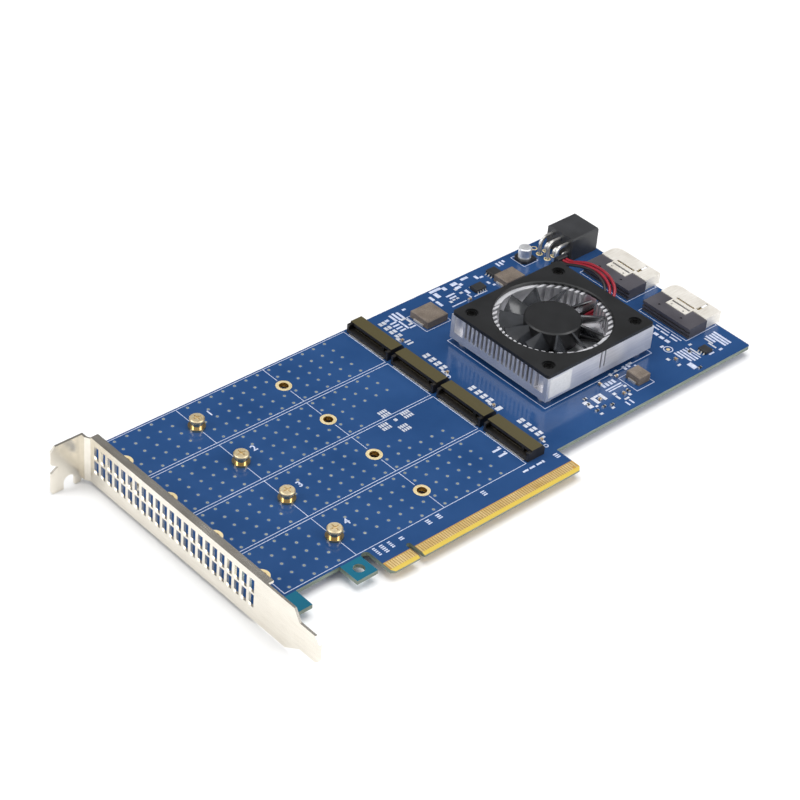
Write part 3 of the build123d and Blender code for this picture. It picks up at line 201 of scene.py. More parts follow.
def insulation(name, plain, worn):
    """Extruded PVC: an even colour with faint drawn marks and a soft gloss."""
    material, tree = new_material(name)
    coords = add_node(tree, "ShaderNodeTexCoord")
    drift = add_node(tree, "ShaderNodeTexNoise", {
        "Vector": coords.outputs["Object"], "Scale": 1 / (4.55 * MM), "Detail": 3.0,
    })
    tone = graded(tree, drift.outputs["Fac"], ((0.35, plain), (0.75, worn)))
    grain = add_node(tree, "ShaderNodeTexNoise", {
        "Vector": coords.outputs["Object"], "Scale": 1 / (0.4 * MM),
    })
    relief = add_node(tree, "ShaderNodeBump", {
        "Height": grain.outputs["Fac"], "Strength": 0.15, "Distance": 0.03 * MM,
    })
    skin = add_node(tree, "ShaderNodeBsdfPrincipled", {
        "Base Color": tone, "Roughness": 0.3, "IOR": 1.53, "Normal": relief.outputs["Normal"],
    })
    add_node(tree, "ShaderNodeOutputMaterial", {"Surface": skin.outputs["BSDF"]})
    return material


insulations = {
    "red": insulation("red_pvc_insulation", "#8A1325", "#A01E30"),
    "black": insulation("black_pvc_insulation", "#1C1517", "#2A2022"),
}
for index, (route, length, colour) in enumerate(zip(WIRE_ROUTES, WIRE_LENGTHS, WIRE_COLOURS), start=1):
    curve = bpy.data.curves.new(f"lead_strand_{index}", "CURVE")
    curve.dimensions = "3D"
    curve.resolution_u = 16
    curve.bevel_depth = WIRE_DIAMETER / 2
    curve.bevel_resolution = 5
    curve.use_fill_caps = True
    spline = curve.splines.new("NURBS")
    spline.points.add(len(route) - 1)
    for point, (x, y, z) in zip(spline.points, route):
        point.co = (x * MM, y * MM, z * MM, 1)
    spline.order_u = 3
    spline.use_endpoint_u = True
    strand = bpy.data.objects.new(f"lead_strand_{index}", curve)
    bpy.context.scene.collection.objects.link(strand)
    curve.materials.append(insulations[colour])
    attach(strand, "card")
    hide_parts(f"fan_wire_{index}")


# Circuit board
# A glass-epoxy laminate under a glossy blue solder mask, which mirrors what stands on it. Its
# routed edge shows the bare laminate, and no copper lies behind the teal of the hook and lug.
MASK_DEEP = "#1D4170"
MASK_PALE = "#284C7D"
MASK_TEAL = "#1A647D"
TONGUE_GAP = "#BC914C"
TONGUE_BEVEL = "#D2B64C"
POUR_SIZE = 22.2 * MM
CLOUD_SIZE = 16.7 * MM
WEAVE_PITCH = 0.9 * MM
TRACE_PITCH = 1.1 * MM
# length of the glass fibres that show in the routed edge, and height of one layer of them
FIBRE_LENGTH = 6.67 * MM
LAYER_HEIGHT = 0.385 * MM
BARE_TO_X = -13.0 * MM
BARE_TO_Y = 12.0 * MM
TONGUE_TO_Y = 5.0 * MM
# how upright its normal is on a level face at least, and on an edge at most
LEVEL_NORMAL = 0.98
EDGE_NORMAL = 0.5
# the bands of a wave texture of scale 1 repeat after this many metres
WAVE_LENGTH = math.tau / 20


def dress(material, *names):
    """Gives CAD pieces their finish."""
    for name in names:
        for place in nodes[name].material_slots:
            place.material = material


solder_mask, tree = new_material("glossy_solder_mask")
coords = add_node(tree, "ShaderNodeTexCoord")
spot = add_node(tree, "ShaderNodeSeparateXYZ", {"Vector": coords.outputs["Object"]})
pours = add_node(tree, "ShaderNodeTexVoronoi", {
    "Vector": coords.outputs["Object"], "Scale": 1 / POUR_SIZE,
}, distance="CHEBYCHEV")
cloud = add_node(tree, "ShaderNodeTexNoise", {
    "Vector": coords.outputs["Object"], "Scale": 1 / CLOUD_SIZE, "Detail": 4.0,
})
pour_tone = add_node(tree, "ShaderNodeMix", {
    "Factor": 0.35, "A": cloud.outputs["Fac"], "B": pours.outputs["Distance"],
}, data_type="FLOAT")
mask_tone = graded(tree, pour_tone.outputs["Result"], ((0.3, MASK_DEEP), (0.7, MASK_PALE)))

# teal over the hook and the lug, bare laminate between the contacts, and a paler bevel
low_x = add_node(tree, "ShaderNodeMath", {0: spot.outputs["X"], 1: BARE_TO_X}, operation="LESS_THAN")
low_y = add_node(tree, "ShaderNodeMath", {0: spot.outputs["Y"], 1: BARE_TO_Y}, operation="LESS_THAN")
bare = add_node(tree, "ShaderNodeMath", {0: low_x.outputs[0], 1: low_y.outputs[0]}, operation="MULTIPLY")
with_teal = add_node(tree, "ShaderNodeMix", {
    "Factor": bare.outputs[0], "A": mask_tone, "B": linear(MASK_TEAL),
}, data_type="RGBA")
tongue = add_node(tree, "ShaderNodeMath", {0: spot.outputs["Y"], 1: TONGUE_TO_Y}, operation="LESS_THAN")
high_x = add_node(tree, "ShaderNodeMath", {0: spot.outputs["X"], 1: BARE_TO_X}, operation="GREATER_THAN")
unmasked = add_node(tree, "ShaderNodeMath", {
    0: tongue.outputs[0], 1: high_x.outputs[0],
}, operation="MULTIPLY")
with_tongue = add_node(tree, "ShaderNodeMix", {
    "Factor": unmasked.outputs[0], "A": with_teal.outputs["Result"], "B": linear(TONGUE_GAP),
}, data_type="RGBA")
shape = add_node(tree, "ShaderNodeNewGeometry")
facing = add_node(tree, "ShaderNodeSeparateXYZ", {"Vector": shape.outputs["Normal"]})
level = add_node(tree, "ShaderNodeMath", {0: facing.outputs["Z"]}, operation="ABSOLUTE")
sloped = add_node(tree, "ShaderNodeMath", {0: level.outputs[0], 1: LEVEL_NORMAL}, operation="LESS_THAN")
bevelled = add_node(tree, "ShaderNodeMath", {
    0: sloped.outputs[0], 1: unmasked.outputs[0],
}, operation="MULTIPLY")
with_bevel = add_node(tree, "ShaderNodeMix", {
    "Factor": bevelled.outputs[0], "A": with_tongue.outputs["Result"], "B": linear(TONGUE_BEVEL),
}, data_type="RGBA")

# the routed edge, in its layers of glass
layers = add_node(tree, "ShaderNodeMapping", {
    "Vector": coords.outputs["Object"], "Scale": (1 / FIBRE_LENGTH, 1 / FIBRE_LENGTH, 1 / LAYER_HEIGHT),
})
fibres = add_node(tree, "ShaderNodeTexNoise", {
    "Vector": layers.outputs["Vector"], "Scale": 1.0, "Detail": 3.0,
})
edge_tone = graded(tree, fibres.outputs["Fac"], ((0.3, "#566459"), (0.7, "#808D7E")))
upright = add_node(tree, "ShaderNodeMath", {0: level.outputs[0], 1: EDGE_NORMAL}, operation="LESS_THAN")
board_tone = add_node(tree, "ShaderNodeMix", {
    "Factor": upright.outputs[0], "A": with_bevel.outputs["Result"], "B": edge_tone,
}, data_type="RGBA")

# the weave shows through the mask, and buried tracks do where there is copper
weave = add_node(tree, "ShaderNodeTexWave", {
    "Vector": coords.outputs["Object"], "Scale": WAVE_LENGTH / WEAVE_PITCH, "Distortion": 1.5, "Detail": 1.0,
})
traces = add_node(tree, "ShaderNodeTexWave", {
    "Vector": coords.outputs["Object"], "Scale": WAVE_LENGTH / TRACE_PITCH,
}, bands_direction="DIAGONAL", wave_profile="TRI")
copper = graded(tree, pours.outputs["Color"], ((0.45, "#000000"), (0.55, "#FFFFFF")))
relief_mix = add_node(tree, "ShaderNodeMix", {
    "Factor": copper, "A": weave.outputs["Fac"], "B": traces.outputs["Fac"],
}, data_type="FLOAT")
relief = add_node(tree, "ShaderNodeBump", {
    "Height": relief_mix.outputs["Result"], "Strength": 0.05, "Distance": 0.03 * MM,
})
gloss = add_node(tree, "ShaderNodeMapRange", {"Value": cloud.outputs["Fac"], "To Min": 0.10, "To Max": 0.2})
skin = add_node(tree, "ShaderNodeBsdfPrincipled", {
    "Base Color": board_tone.outputs["Result"], "Roughness": gloss.outputs["Result"], "IOR": 1.5,
    "Normal": relief.outputs["Normal"],
})
add_node(tree, "ShaderNodeOutputMaterial", {"Surface": skin.outputs["BSDF"]})
dress(solder_mask, "circuit_board")


# Via field
# Plated holes a few tenths of a millimetre wide stitch the copper layers together on a regular
# grid under the module places. Mask covers them, so each is a dull grey spot ringed by mask
# that is a little paler, on both sides of the board.
BOARD_THICKNESS = 1.6
MODULE_NEAR = (12.95, 36.45, 59.95, 83.45)
MODULE_WIDTH = 22.0
FREE_HOLES_X = (-46.4, 21.6)
POSTS_X = -16.4
VIA_FIRST = (-43.0, 1.6)
VIA_PITCH = (5.095, 4.87)
VIA_COLUMNS = 19
VIA_ROWS = 5
POST_COLUMN = 5
VIA_CLEARANCE = 3.6
# kept free of vias for a group of lands and the key notch: low X, high X, low Y, high Y
VIA_FREE = ((31, 60, 60, 68), (26, 60, 50, 60), (36, 60, 46, 50), (-15, 0, 0, 16))
# what a via shows: name, radius, height
VIA_SIZES = (("halo", 0.88, 0.012), ("dome", 0.56, 0.03), ("mouth", 0.17, 0.034))
DOT_SIDES = 12
DOT_TAPER = 0.8


def new_tree(name, **inputs):
    """A geometry tree that takes points and the given inputs, and gives a mesh."""
    tree = bpy.data.node_groups.new(name, "GeometryNodeTree")
    tree.interface.new_socket("Geometry", in_out="INPUT", socket_type="NodeSocketGeometry")
    for label, kind in inputs.items():
        tree.interface.new_socket(label, in_out="INPUT", socket_type=f"NodeSocket{kind}")
    tree.interface.new_socket("Geometry", in_out="OUTPUT", socket_type="NodeSocketGeometry")
    return tree


def close_tree(tree, given, spread):
    """Makes a tree's instances real, gives them their finish and puts them out."""
    real = add_node(tree, "GeometryNodeRealizeInstances", {"Geometry": spread.outputs["Instances"]})
    finished = add_node(tree, "GeometryNodeSetMaterial", {
        "Geometry": real.outputs["Geometry"], "Material": given.outputs["Finish"],
    })
    add_node(tree, "NodeGroupOutput", {"Geometry": finished.outputs["Geometry"]})


def dot_tree():
    """A node tree that stands a low round dot on every point."""
    tree = new_tree("round_dots", Radius="Float", Height="Float", Finish="Material")
    given = add_node(tree, "NodeGroupInput")
    shoulder = add_node(tree, "ShaderNodeMath", {
        0: given.outputs["Radius"], 1: DOT_TAPER,
    }, operation="MULTIPLY")
    dot = add_node(tree, "GeometryNodeMeshCone", {
        "Vertices": DOT_SIDES, "Radius Top": shoulder.outputs[0], "Radius Bottom": given.outputs["Radius"],
        "Depth": given.outputs["Height"],
    })
    spread = add_node(tree, "GeometryNodeInstanceOnPoints", {
        "Points": given.outputs["Geometry"], "Instance": dot.outputs["Mesh"],
    })
    close_tree(tree, given, spread)
    return tree


def grown(name, points, tree, sizes=None, **values):
    """The plain mesh that a node tree grows on points in millimetres, riding on the card."""
    piece = mesh_object(name, [tuple(value * MM for value in point) for point in points], [])
    if sizes:
        stored = piece.data.attributes.new("size", "FLOAT_VECTOR", "POINT")
        stored.data.foreach_set("vector", [value * MM for size in sizes for value in size])
    modifier = piece.modifiers.new("grow", "NODES")
    modifier.node_group = tree
    for item in tree.interface.items_tree:
        if item.in_out == "INPUT" and item.name in values:
            modifier[item.identifier] = values[item.name]
    depsgraph = bpy.context.evaluated_depsgraph_get()
    mesh = bpy.data.meshes.new_from_object(piece.evaluated_get(depsgraph))
    piece.modifiers.remove(modifier)
    piece.data = mesh
    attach(piece, "card")
    return piece


def mottled(
    name, dark, pale, roughness, metallic=0.0, cell=1.11 * MM, detail=2.0, strength=0.2, depth=0.05 * MM,
):
    """A thin or dense even coat, such as ink, tin, paper or ceramic, faintly mottled."""
    material, tree = new_material(name)
    coords = add_node(tree, "ShaderNodeTexCoord")
    stain = add_node(tree, "ShaderNodeTexNoise", {
        "Vector": coords.outputs["Object"], "Scale": 1 / cell, "Detail": detail,
    })
    tone = graded(tree, stain.outputs["Fac"], ((0.3, dark), (0.7, pale)))
    relief = add_node(tree, "ShaderNodeBump", {
        "Height": stain.outputs["Fac"], "Strength": strength, "Distance": depth,
    })
    skin = add_node(tree, "ShaderNodeBsdfPrincipled", {
        "Base Color": tone, "Roughness": roughness, "Metallic": metallic, "Normal": relief.outputs["Normal"],
    })
    add_node(tree, "ShaderNodeOutputMaterial", {"Surface": skin.outputs["BSDF"]})
    return material


def via_is_there(x, y):
    """Whether the grid has a via here, clear of the holes and of the places kept free."""
    kept_free = any(low_x < x < high_x and low_y < y < high_y for low_x, high_x, low_y, high_y in VIA_FREE)
    by_hole = any(
        math.hypot(x - hole, y - near - MODULE_WIDTH / 2) < VIA_CLEARANCE
        for hole in (*FREE_HOLES_X, POSTS_X) for near in MODULE_NEAR
    )
    return not (kept_free or by_hole)


via_places = []
for near in MODULE_NEAR:
    for row in range(VIA_ROWS):
        for column in range(VIA_COLUMNS):
            x = VIA_FIRST[0] + column * VIA_PITCH[0]
            y = near + VIA_FIRST[1] + row * VIA_PITCH[1]
            if column != POST_COLUMN and via_is_there(x, y):
                via_places.append((x, y))
round_dots = dot_tree()
via_finishes = {
    "halo": mottled("mask_over_copper_ring", "#2C5084", "#38598A", 0.25),
    "dome": mottled("mask_plugged_via", "#8C9086", "#A8A999", 0.35, 0.2),
    "mouth": mottled("via_mouth", "#4A4A44", "#5E5B50", 0.5),
}
for name, radius, height in VIA_SIZES:
    points = [(x, y, z) for z in (0.0, -BOARD_THICKNESS - height) for x, y in via_places]
    dots = grown(
        f"via_{name}s", points, round_dots,
        Radius=radius * MM, Height=height * MM, Finish=via_finishes[name],
    )


# Printed marks
# White ink, screened on the cured mask: the outline of each module, one line across it for
# every length, plain place numbers, part outlines and short bars. It is matt and a little thin.
INK_HEIGHT = 0.02
LINE_WIDTH = 0.24
MODULE_LINES_X = (-46.1, -16.5, 21.6)
SOCKET_LINE_X = 58.95
FRAME_LOW = 0.15
FRAME_HIGH = 22.45
HOLE_CLEARANCE = 3.4
NUMBER_PLACE = (-8.3, 13.0)
NUMBER_SIZE = 3.9
NUMBER_SWELL = 0.09
# outlines of parts: low X, low Y, high X, high Y
PART_FRAMES = (
    (85.4, 30.5, 139.5, 79.9), (83.1, 88.3, 95.0, 99.0), (118.8, 18.1, 127.6, 27.2),
    (155.2, 28.0, 171.6, 51.6), (155.2, 57.9, 171.6, 81.8), (140.8, 96.9, 148.0, 104.2),
)
# bars: middle X, middle Y, width, depth
BARS = (
    (56.2, 10.4, 2.4, 0.8), (59.3, 10.4, 2.4, 0.8), (62.6, 10.4, 2.4, 0.8), (64.5, 10.4, 0.8, 1.2),
    (56.1, 24.2, 3.8, 0.9), (56.1, 21.2, 3.8, 0.9), (57.6, 24.9, 0.8, 0.8), (57.6, 21.9, 0.8, 0.8),
    (75.9, 101.7, 1.7, 1.2), (78.7, 101.5, 1.0, 4.2), (80.4, 101.6, 1.0, 4.6), (82.2, 101.5, 1.0, 4.2),
    (76.8, 99.3, 2.8, 0.8), (76.8, 97.6, 2.8, 0.8), (76.8, 95.9, 2.8, 0.8), (77.0, 94.2, 2.6, 0.8),
    (79.3, 96.4, 0.8, 5.4), (81.2, 93.6, 2.8, 0.7), (85.6, 103.3, 1.6, 0.9), (98.4, 102.2, 1.2, 2.6),
    (98.6, 98.3, 1.2, 3.4), (103.0, 105.4, 5.4, 1.3), (101.4, 102.6, 1.8, 3.0), (106.5, 104.2, 1.6, 2.0),
    (105.6, 99.9, 4.2, 0.8), (105.4, 98.3, 3.2, 0.8), (104.6, 94.0, 7.0, 0.5), (111.4, 104.3, 2.8, 1.8),
    (111.2, 101.8, 2.4, 1.4), (113.4, 102.6, 1.4, 1.4), (117.0, 104.7, 3.4, 1.2), (112.2, 97.8, 1.2, 2.6),
    (115.4, 94.0, 6.4, 0.5), (111.0, 95.4, 0.6, 2.4), (121.2, 102.6, 1.2, 2.2), (123.0, 101.6, 1.6, 0.9),
    (122.6, 97.4, 1.0, 1.6), (123.4, 95.2, 1.2, 1.0), (133.6, 103.8, 0.9, 2.4), (135.2, 103.8, 0.9, 2.4),
    (136.8, 104.3, 0.9, 1.4), (111.2, 27.2, 1.1, 2.0), (112.9, 27.2, 1.1, 2.0), (114.6, 27.2, 1.1, 2.0),
    (116.2, 27.2, 1.1, 2.0), (113.8, 24.9, 7.8, 0.6), (113.8, 23.8, 7.0, 0.5), (110.9, 15.2, 0.7, 2.4),
    (112.9, 15.2, 0.7, 2.4), (125.0, 30.2, 1.2, 2.2), (127.0, 30.4, 1.2, 1.9), (129.2, 28.0, 0.8, 2.6),
    (145.4, 30.9, 1.6, 0.9), (146.2, 23.6, 0.8, 4.2), (147.6, 22.0, 0.8, 7.0), (149.0, 21.6, 0.8, 7.4),
    (150.4, 21.6, 0.8, 7.4), (151.8, 21.6, 0.5, 7.4), (145.7, 16.4, 2.2, 3.6), (157.0, 17.3, 2.6, 0.7),
    (163.3, 23.4, 0.9, 4.6), (164.8, 21.4, 0.9, 8.0), (166.2, 21.4, 0.9, 8.0), (167.6, 21.6, 0.9, 8.4),
    (161.6, 17.0, 1.6, 0.9), (149.4, 40.4, 1.4, 2.0), (149.4, 37.6, 1.4, 2.0), (149.4, 34.8, 1.4, 2.0),
    (149.4, 32.0, 1.4, 2.0), (152.2, 40.4, 0.7, 3.6), (152.2, 36.0, 0.7, 3.6), (152.2, 31.6, 0.7, 3.6),
    (153.8, 38.2, 0.5, 6.6), (153.8, 31.6, 0.5, 5.0),
)
# stacks of short strokes beside the edge contacts: middle X, lowest Y, width, number of strokes
STACKS = (
    (-10.3, 8.6, 1.1, 5), (-7.5, 8.3, 1.5, 5), (-4.4, 8.9, 1.2, 4), (0.2, 9.9, 1.7, 2), (12.6, 10.1, 1.7, 3),
    (17.2, 10.1, 1.7, 3), (37.0, 9.7, 1.7, 3), (70.4, 9.0, 1.8, 3),
)
STACK_PITCH = 0.85
STACK_STROKE = 0.5


def block_tree():
    """A node tree that stands a flat block, sized by its point, on every point."""
    tree = new_tree("flat_blocks", Unit="Float", Finish="Material")
    given = add_node(tree, "NodeGroupInput")
    edge = add_node(tree, "ShaderNodeCombineXYZ", {axis: given.outputs["Unit"] for axis in "XYZ"})
    unit = add_node(tree, "GeometryNodeMeshCube", {"Size": edge.outputs["Vector"]})
    size = add_node(tree, "GeometryNodeInputNamedAttribute", {"Name": "size"}, data_type="FLOAT_VECTOR")
    spread = add_node(tree, "GeometryNodeInstanceOnPoints", {
        "Points": given.outputs["Geometry"], "Instance": unit.outputs["Mesh"],
        "Scale": size.outputs["Attribute"],
    })
    close_tree(tree, given, spread)
    return tree


def blocks(name, places, height, material):
    """Flat blocks on the board: each place is its middle X and Y, its width and its depth."""
    points = [(x, y, height / 2) for x, y, width, depth in places]
    sizes = [(width, depth, height) for x, y, width, depth in places]
    grown(name, points, flat_blocks, sizes, Unit=1.0, Finish=material)


def level_line(low_x, high_x, y):
    """A stroke along X that runs past both ends by half its width."""
    return ((low_x + high_x) / 2, y, high_x - low_x + LINE_WIDTH, LINE_WIDTH)


def cross_line(x, low_y, high_y):
    """A stroke along Y that butts against the strokes at both ends."""
    return (x, (low_y + high_y) / 2, LINE_WIDTH, high_y - low_y - LINE_WIDTH)


flat_blocks = block_tree()
printed_ink = mottled("screened_white_ink", "#A9B4CF", "#D3D9EA", 0.55)
strokes = list(BARS)
for x, lowest, width, count in STACKS:
    strokes.extend((x, lowest + step * STACK_PITCH, width, STACK_STROKE) for step in range(count))
for near in MODULE_NEAR:
    low_y = near + FRAME_LOW
    high_y = near + FRAME_HIGH
    middle = near + MODULE_WIDTH / 2
    strokes.append(level_line(MODULE_LINES_X[0], SOCKET_LINE_X, low_y))
    strokes.append(level_line(MODULE_LINES_X[0], SOCKET_LINE_X, high_y))
    for x in MODULE_LINES_X:
        strokes.append(cross_line(x, low_y, middle - HOLE_CLEARANCE))
        strokes.append(cross_line(x, middle + HOLE_CLEARANCE, high_y))
    strokes.append(cross_line(SOCKET_LINE_X, low_y, high_y))
for low_x, low_y, high_x, high_y in PART_FRAMES:
    strokes.append(level_line(low_x, high_x, low_y))
    strokes.append(level_line(low_x, high_x, high_y))
    strokes.append(cross_line(low_x, low_y, high_y))
    strokes.append(cross_line(high_x, low_y, high_y))
blocks("printed_marks", strokes, INK_HEIGHT, printed_ink)

for index, near in enumerate(reversed(MODULE_NEAR), start=1):
    words = bpy.data.curves.new(f"place_number_{index}", "FONT")
    words.body = str(index)
    words.size = NUMBER_SIZE * MM
    words.offset = NUMBER_SWELL * MM
    words.align_x = "CENTER"
    written = bpy.data.objects.new("writing", words)
    bpy.context.scene.collection.objects.link(written)
    bpy.context.view_layer.update()
    depsgraph = bpy.context.evaluated_depsgraph_get()
    flat = bpy.data.meshes.new_from_object(written.evaluated_get(depsgraph))
    bpy.data.objects.remove(written)
    place = Vector((NUMBER_PLACE[0], near + NUMBER_PLACE[1], INK_HEIGHT)) * MM
    flat.transform(Matrix.Translation(place))
    flat.materials.clear()
    flat.materials.append(printed_ink)
    number = bpy.data.objects.new(f"place_number_{index}", flat)
    bpy.context.scene.collection.objects.link(number)
    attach(number, "card")


# Bare lands
# Copper lands left free for parts that were not fitted. They are tinned, so they are the
# brightest spots on the board, and stand a hair above the mask.
LAND_HEIGHT = 0.05
LAND_ROWS = (17.8, 14.75, 11.95, 9.1)
# middle of each module's pairs, in the order of the modules
LAND_PAIRS_X = (74.0, 73.25, 73.25, 73.25)
LAND_OFFSET = 0.8
LAND_SIZE = (1.25, 1.8)
# lands: middle X, middle Y, width, depth
LOOSE_LANDS = (
    (71.6, 66.4, 1.1, 3.2), (72.0, 43.2, 1.4, 2.6), (71.8, 90.4, 1.5, 2.8), (72.2, 18.6, 1.0, 2.4),
    (73.6, 88.1, 2.8, 0.8), (73.6, 86.6, 2.8, 0.8), (72.6, 40.3, 2.8, 1.8), (73.2, 19.7, 2.6, 0.9),
    (81.4, 99.0, 2.4, 1.0), (81.6, 95.2, 2.0, 0.8), (82.4, 97.0, 0.8, 2.6), (104.6, 96.9, 1.2, 0.8),
    (106.4, 96.9, 1.2, 0.8), (102.9, 96.6, 1.2, 1.2), (109.6, 101.4, 1.2, 1.2), (109.8, 98.6, 1.4, 1.0),
    (99.0, 24.2, 2.0, 1.6), (99.0, 21.7, 2.0, 1.6), (102.9, 23.2, 1.4, 3.8), (106.5, 23.2, 1.4, 3.8),
    (104.7, 24.7, 2.0, 0.9), (99.3, 16.6, 1.4, 0.9), (105.0, 16.6, 1.4, 0.9), (101.0, 20.6, 1.2, 0.8),
    (111.0, 21.8, 1.4, 1.2), (112.8, 17.4, 2.2, 0.8), (110.6, 19.6, 0.9, 2.2), (115.3, 18.4, 1.2, 1.2),
    (117.4, 22.8, 1.2, 1.0), (118.0, 30.4, 1.2, 1.4), (121.2, 30.8, 1.4, 1.0), (128.6, 31.0, 1.6, 0.9),
    (141.4, 24.2, 1.2, 1.4), (142.2, 19.6, 1.6, 0.9), (154.6, 25.6, 1.4, 0.9), (160.8, 20.4, 0.7, 3.8),
    (152.9, 21.6, 0.7, 5.0), (161.8, 23.0, 0.7, 4.0),
)
# four groups of narrow lands, set crosswise in the middle of the module field
CLUSTERS = ((39.0, 62.0), (45.0, 57.0), (39.5, 52.0), (34.5, 56.4))
CLUSTER_STEPS = (-1.5, -0.5, 0.5, 1.5)
CLUSTER_OFFSET = 0.95
CLUSTER_LAND = (0.68, 1.5)
CLUSTER_MIDDLE = (39.8, 57.0, 1.3, 1.3)
tinned_lands = mottled("tinned_lands", "#C2C6D2", "#E6E9F2", 0.45, 0.4)
lands = list(LOOSE_LANDS)
for near, x in zip(MODULE_NEAR, LAND_PAIRS_X):
    for row in LAND_ROWS:
        lands.extend((x + side * LAND_OFFSET, near + row, *LAND_SIZE) for side in (-1, 1))
lands.append(CLUSTER_MIDDLE)
for x, y in CLUSTERS:
    for step in CLUSTER_STEPS:
        lands.extend((x + step, y + side * CLUSTER_OFFSET, *CLUSTER_LAND) for side in (1, -1))
blocks("bare_lands", lands, LAND_HEIGHT, tinned_lands)


# Plated holes and rings
# The barrels of the round holes, the wide rings round them, and the collars of the power pins
# are plated with a thin pale gold that is matt rather than mirror-like.
RING_PLACES = [(x, near + MODULE_WIDTH / 2) for x in FREE_HOLES_X for near in MODULE_NEAR]
UNDERSIDE = -BOARD_THICKNESS
BARREL_PROFILE = ((1.69, UNDERSIDE), (1.745, UNDERSIDE), (1.745, 0.05), (1.69, 0.05))
SOLDER_RING_PROFILE = (
    (1.75, UNDERSIDE), (2.9, UNDERSIDE), (2.85, UNDERSIDE - 0.035), (1.75, UNDERSIDE - 0.035),
)
COLLAR_PROFILE = ((0.85, 0.0), (1.35, 0.0), (1.3, 0.06), (0.85, 0.09))
COLLAR_COLUMNS_X = (151.6, 155.0)
COLLAR_ROWS_Y = (91.4, 95.6, 99.8)
# one more plated hole stands beside the six pins
LONE_COLLAR = (152.6, 103.6)
MARK_RING_PROFILE = ((0.55, 0.0), (0.9, 0.0), (0.9, 0.03), (0.55, 0.03))
MARK_RING_PLACES = ((71.0, 64.0), (71.2, 15.8))
TARGET_PROFILE = ((1.45, 0.0), (1.85, 0.0), (1.85, 0.03), (1.45, 0.03))
TARGET_PLACE = (146.0, 28.4)
TARGET_RADIUS = 0.75
TARGET_HEIGHT = 0.05
RING_SIDES = 32


def turned(name, profile, places, material):
    """Rings of revolution: a closed profile of radius and height, turned about each place."""
    vertices = []
    faces = []
    count = len(profile)
    for x, y in places:
        start = len(vertices)
        for step in range(RING_SIDES):
            angle = math.tau * step / RING_SIDES
            for radius, height in profile:
                point = (x + radius * math.cos(angle), y + radius * math.sin(angle), height)
                vertices.append(tuple(value * MM for value in point))
        for step in range(RING_SIDES):
            here = start + step * count
            after = start + (step + 1) % RING_SIDES * count
            for corner in range(count):
                along = (corner + 1) % count
                faces.append((here + corner, after + corner, after + along, here + along))
    piece = mesh_object(name, vertices, faces, material)
    shell = bmesh.new()
    shell.from_mesh(piece.data)
    bmesh.ops.recalc_face_normals(shell, faces=shell.faces)
    shell.to_mesh(piece.data)
    shell.free()
    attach(piece, "card")


def plated_metal(name, dark, pale, roughness, line_mm, depth=0.02 * MM):
    """Plated or rolled metal: fine directional lines, uneven gloss and faint handling marks."""
    material, tree = new_material(name)
    coords = add_node(tree, "ShaderNodeTexCoord")
    stretch = add_node(tree, "ShaderNodeMapping", {
        "Vector": coords.outputs["Object"], "Scale": tuple(1.0 / (length * MM) for length in line_mm),
    })
    lines = add_node(tree, "ShaderNodeTexNoise", {
        "Vector": stretch.outputs["Vector"], "Scale": 1.0, "Detail": 4.0,
    })
    touch = add_node(tree, "ShaderNodeTexNoise", {
        "Vector": coords.outputs["Object"], "Scale": 1 / (8.33 * MM), "Detail": 3.0,
    })
    mixed = add_node(tree, "ShaderNodeMix", {
        "Factor": 0.5, "A": lines.outputs["Fac"], "B": touch.outputs["Fac"],
    }, data_type="FLOAT")
    tone = graded(tree, mixed.outputs["Result"], ((0.35, dark), (0.65, pale)))
    gloss = add_node(tree, "ShaderNodeMapRange", {
        "Value": mixed.outputs["Result"], "From Min": 0.3, "From Max": 0.7,
        "To Min": roughness[0], "To Max": roughness[1],
    })
    relief = add_node(tree, "ShaderNodeBump", {
        "Height": lines.outputs["Fac"], "Strength": 0.25, "Distance": depth,
    })
    skin = add_node(tree, "ShaderNodeBsdfPrincipled", {
        "Base Color": tone, "Roughness": gloss.outputs["Result"], "Metallic": 1.0,
        "Normal": relief.outputs["Normal"],
    })
    add_node(tree, "ShaderNodeOutputMaterial", {"Surface": skin.outputs["BSDF"]})
    return material


# immersion gold: pale, matt and slightly grainy
immersion_gold = plated_metal("immersion_gold", "#F0DBA6", "#FFF0C8", (0.5, 0.62), (0.4, 0.4, 0.4))
barrel_gold = plated_metal("plated_barrel", "#C08A3A", "#E0B45E", (0.35, 0.5), (0.8, 0.8, 0.3))
collar_places = [(x, y) for x in COLLAR_COLUMNS_X for y in COLLAR_ROWS_Y] + [LONE_COLLAR]
dress(immersion_gold, "pad_rings")
turned("plated_barrels", BARREL_PROFILE, RING_PLACES, barrel_gold)
turned("solder_side_rings", SOLDER_RING_PROFILE, RING_PLACES, immersion_gold)
turned("pin_collars", COLLAR_PROFILE, collar_places, immersion_gold)
turned("mark_rings", MARK_RING_PROFILE, MARK_RING_PLACES, printed_ink)
# the target by which the placing machine finds the board
turned("target_ring", TARGET_PROFILE, (TARGET_PLACE,), printed_ink)
target_dot = grown(
    "target_dot", [(*TARGET_PLACE, 0.0)], round_dots,
    Radius=TARGET_RADIUS * MM, Height=TARGET_HEIGHT * MM, Finish=immersion_gold,
)


# Edge contacts
# Hard gold over nickel on every contact of the tongue, wiped by the slot's springs, so fine
# lines run along Y and the gloss is softer where it has been plugged.
contact_gold = plated_metal("hard_gold_contacts", "#E6C67A", "#F8E6B4", (0.36, 0.5), (0.12, 1.6, 0.5))
dress(contact_gold, "edge_contacts")


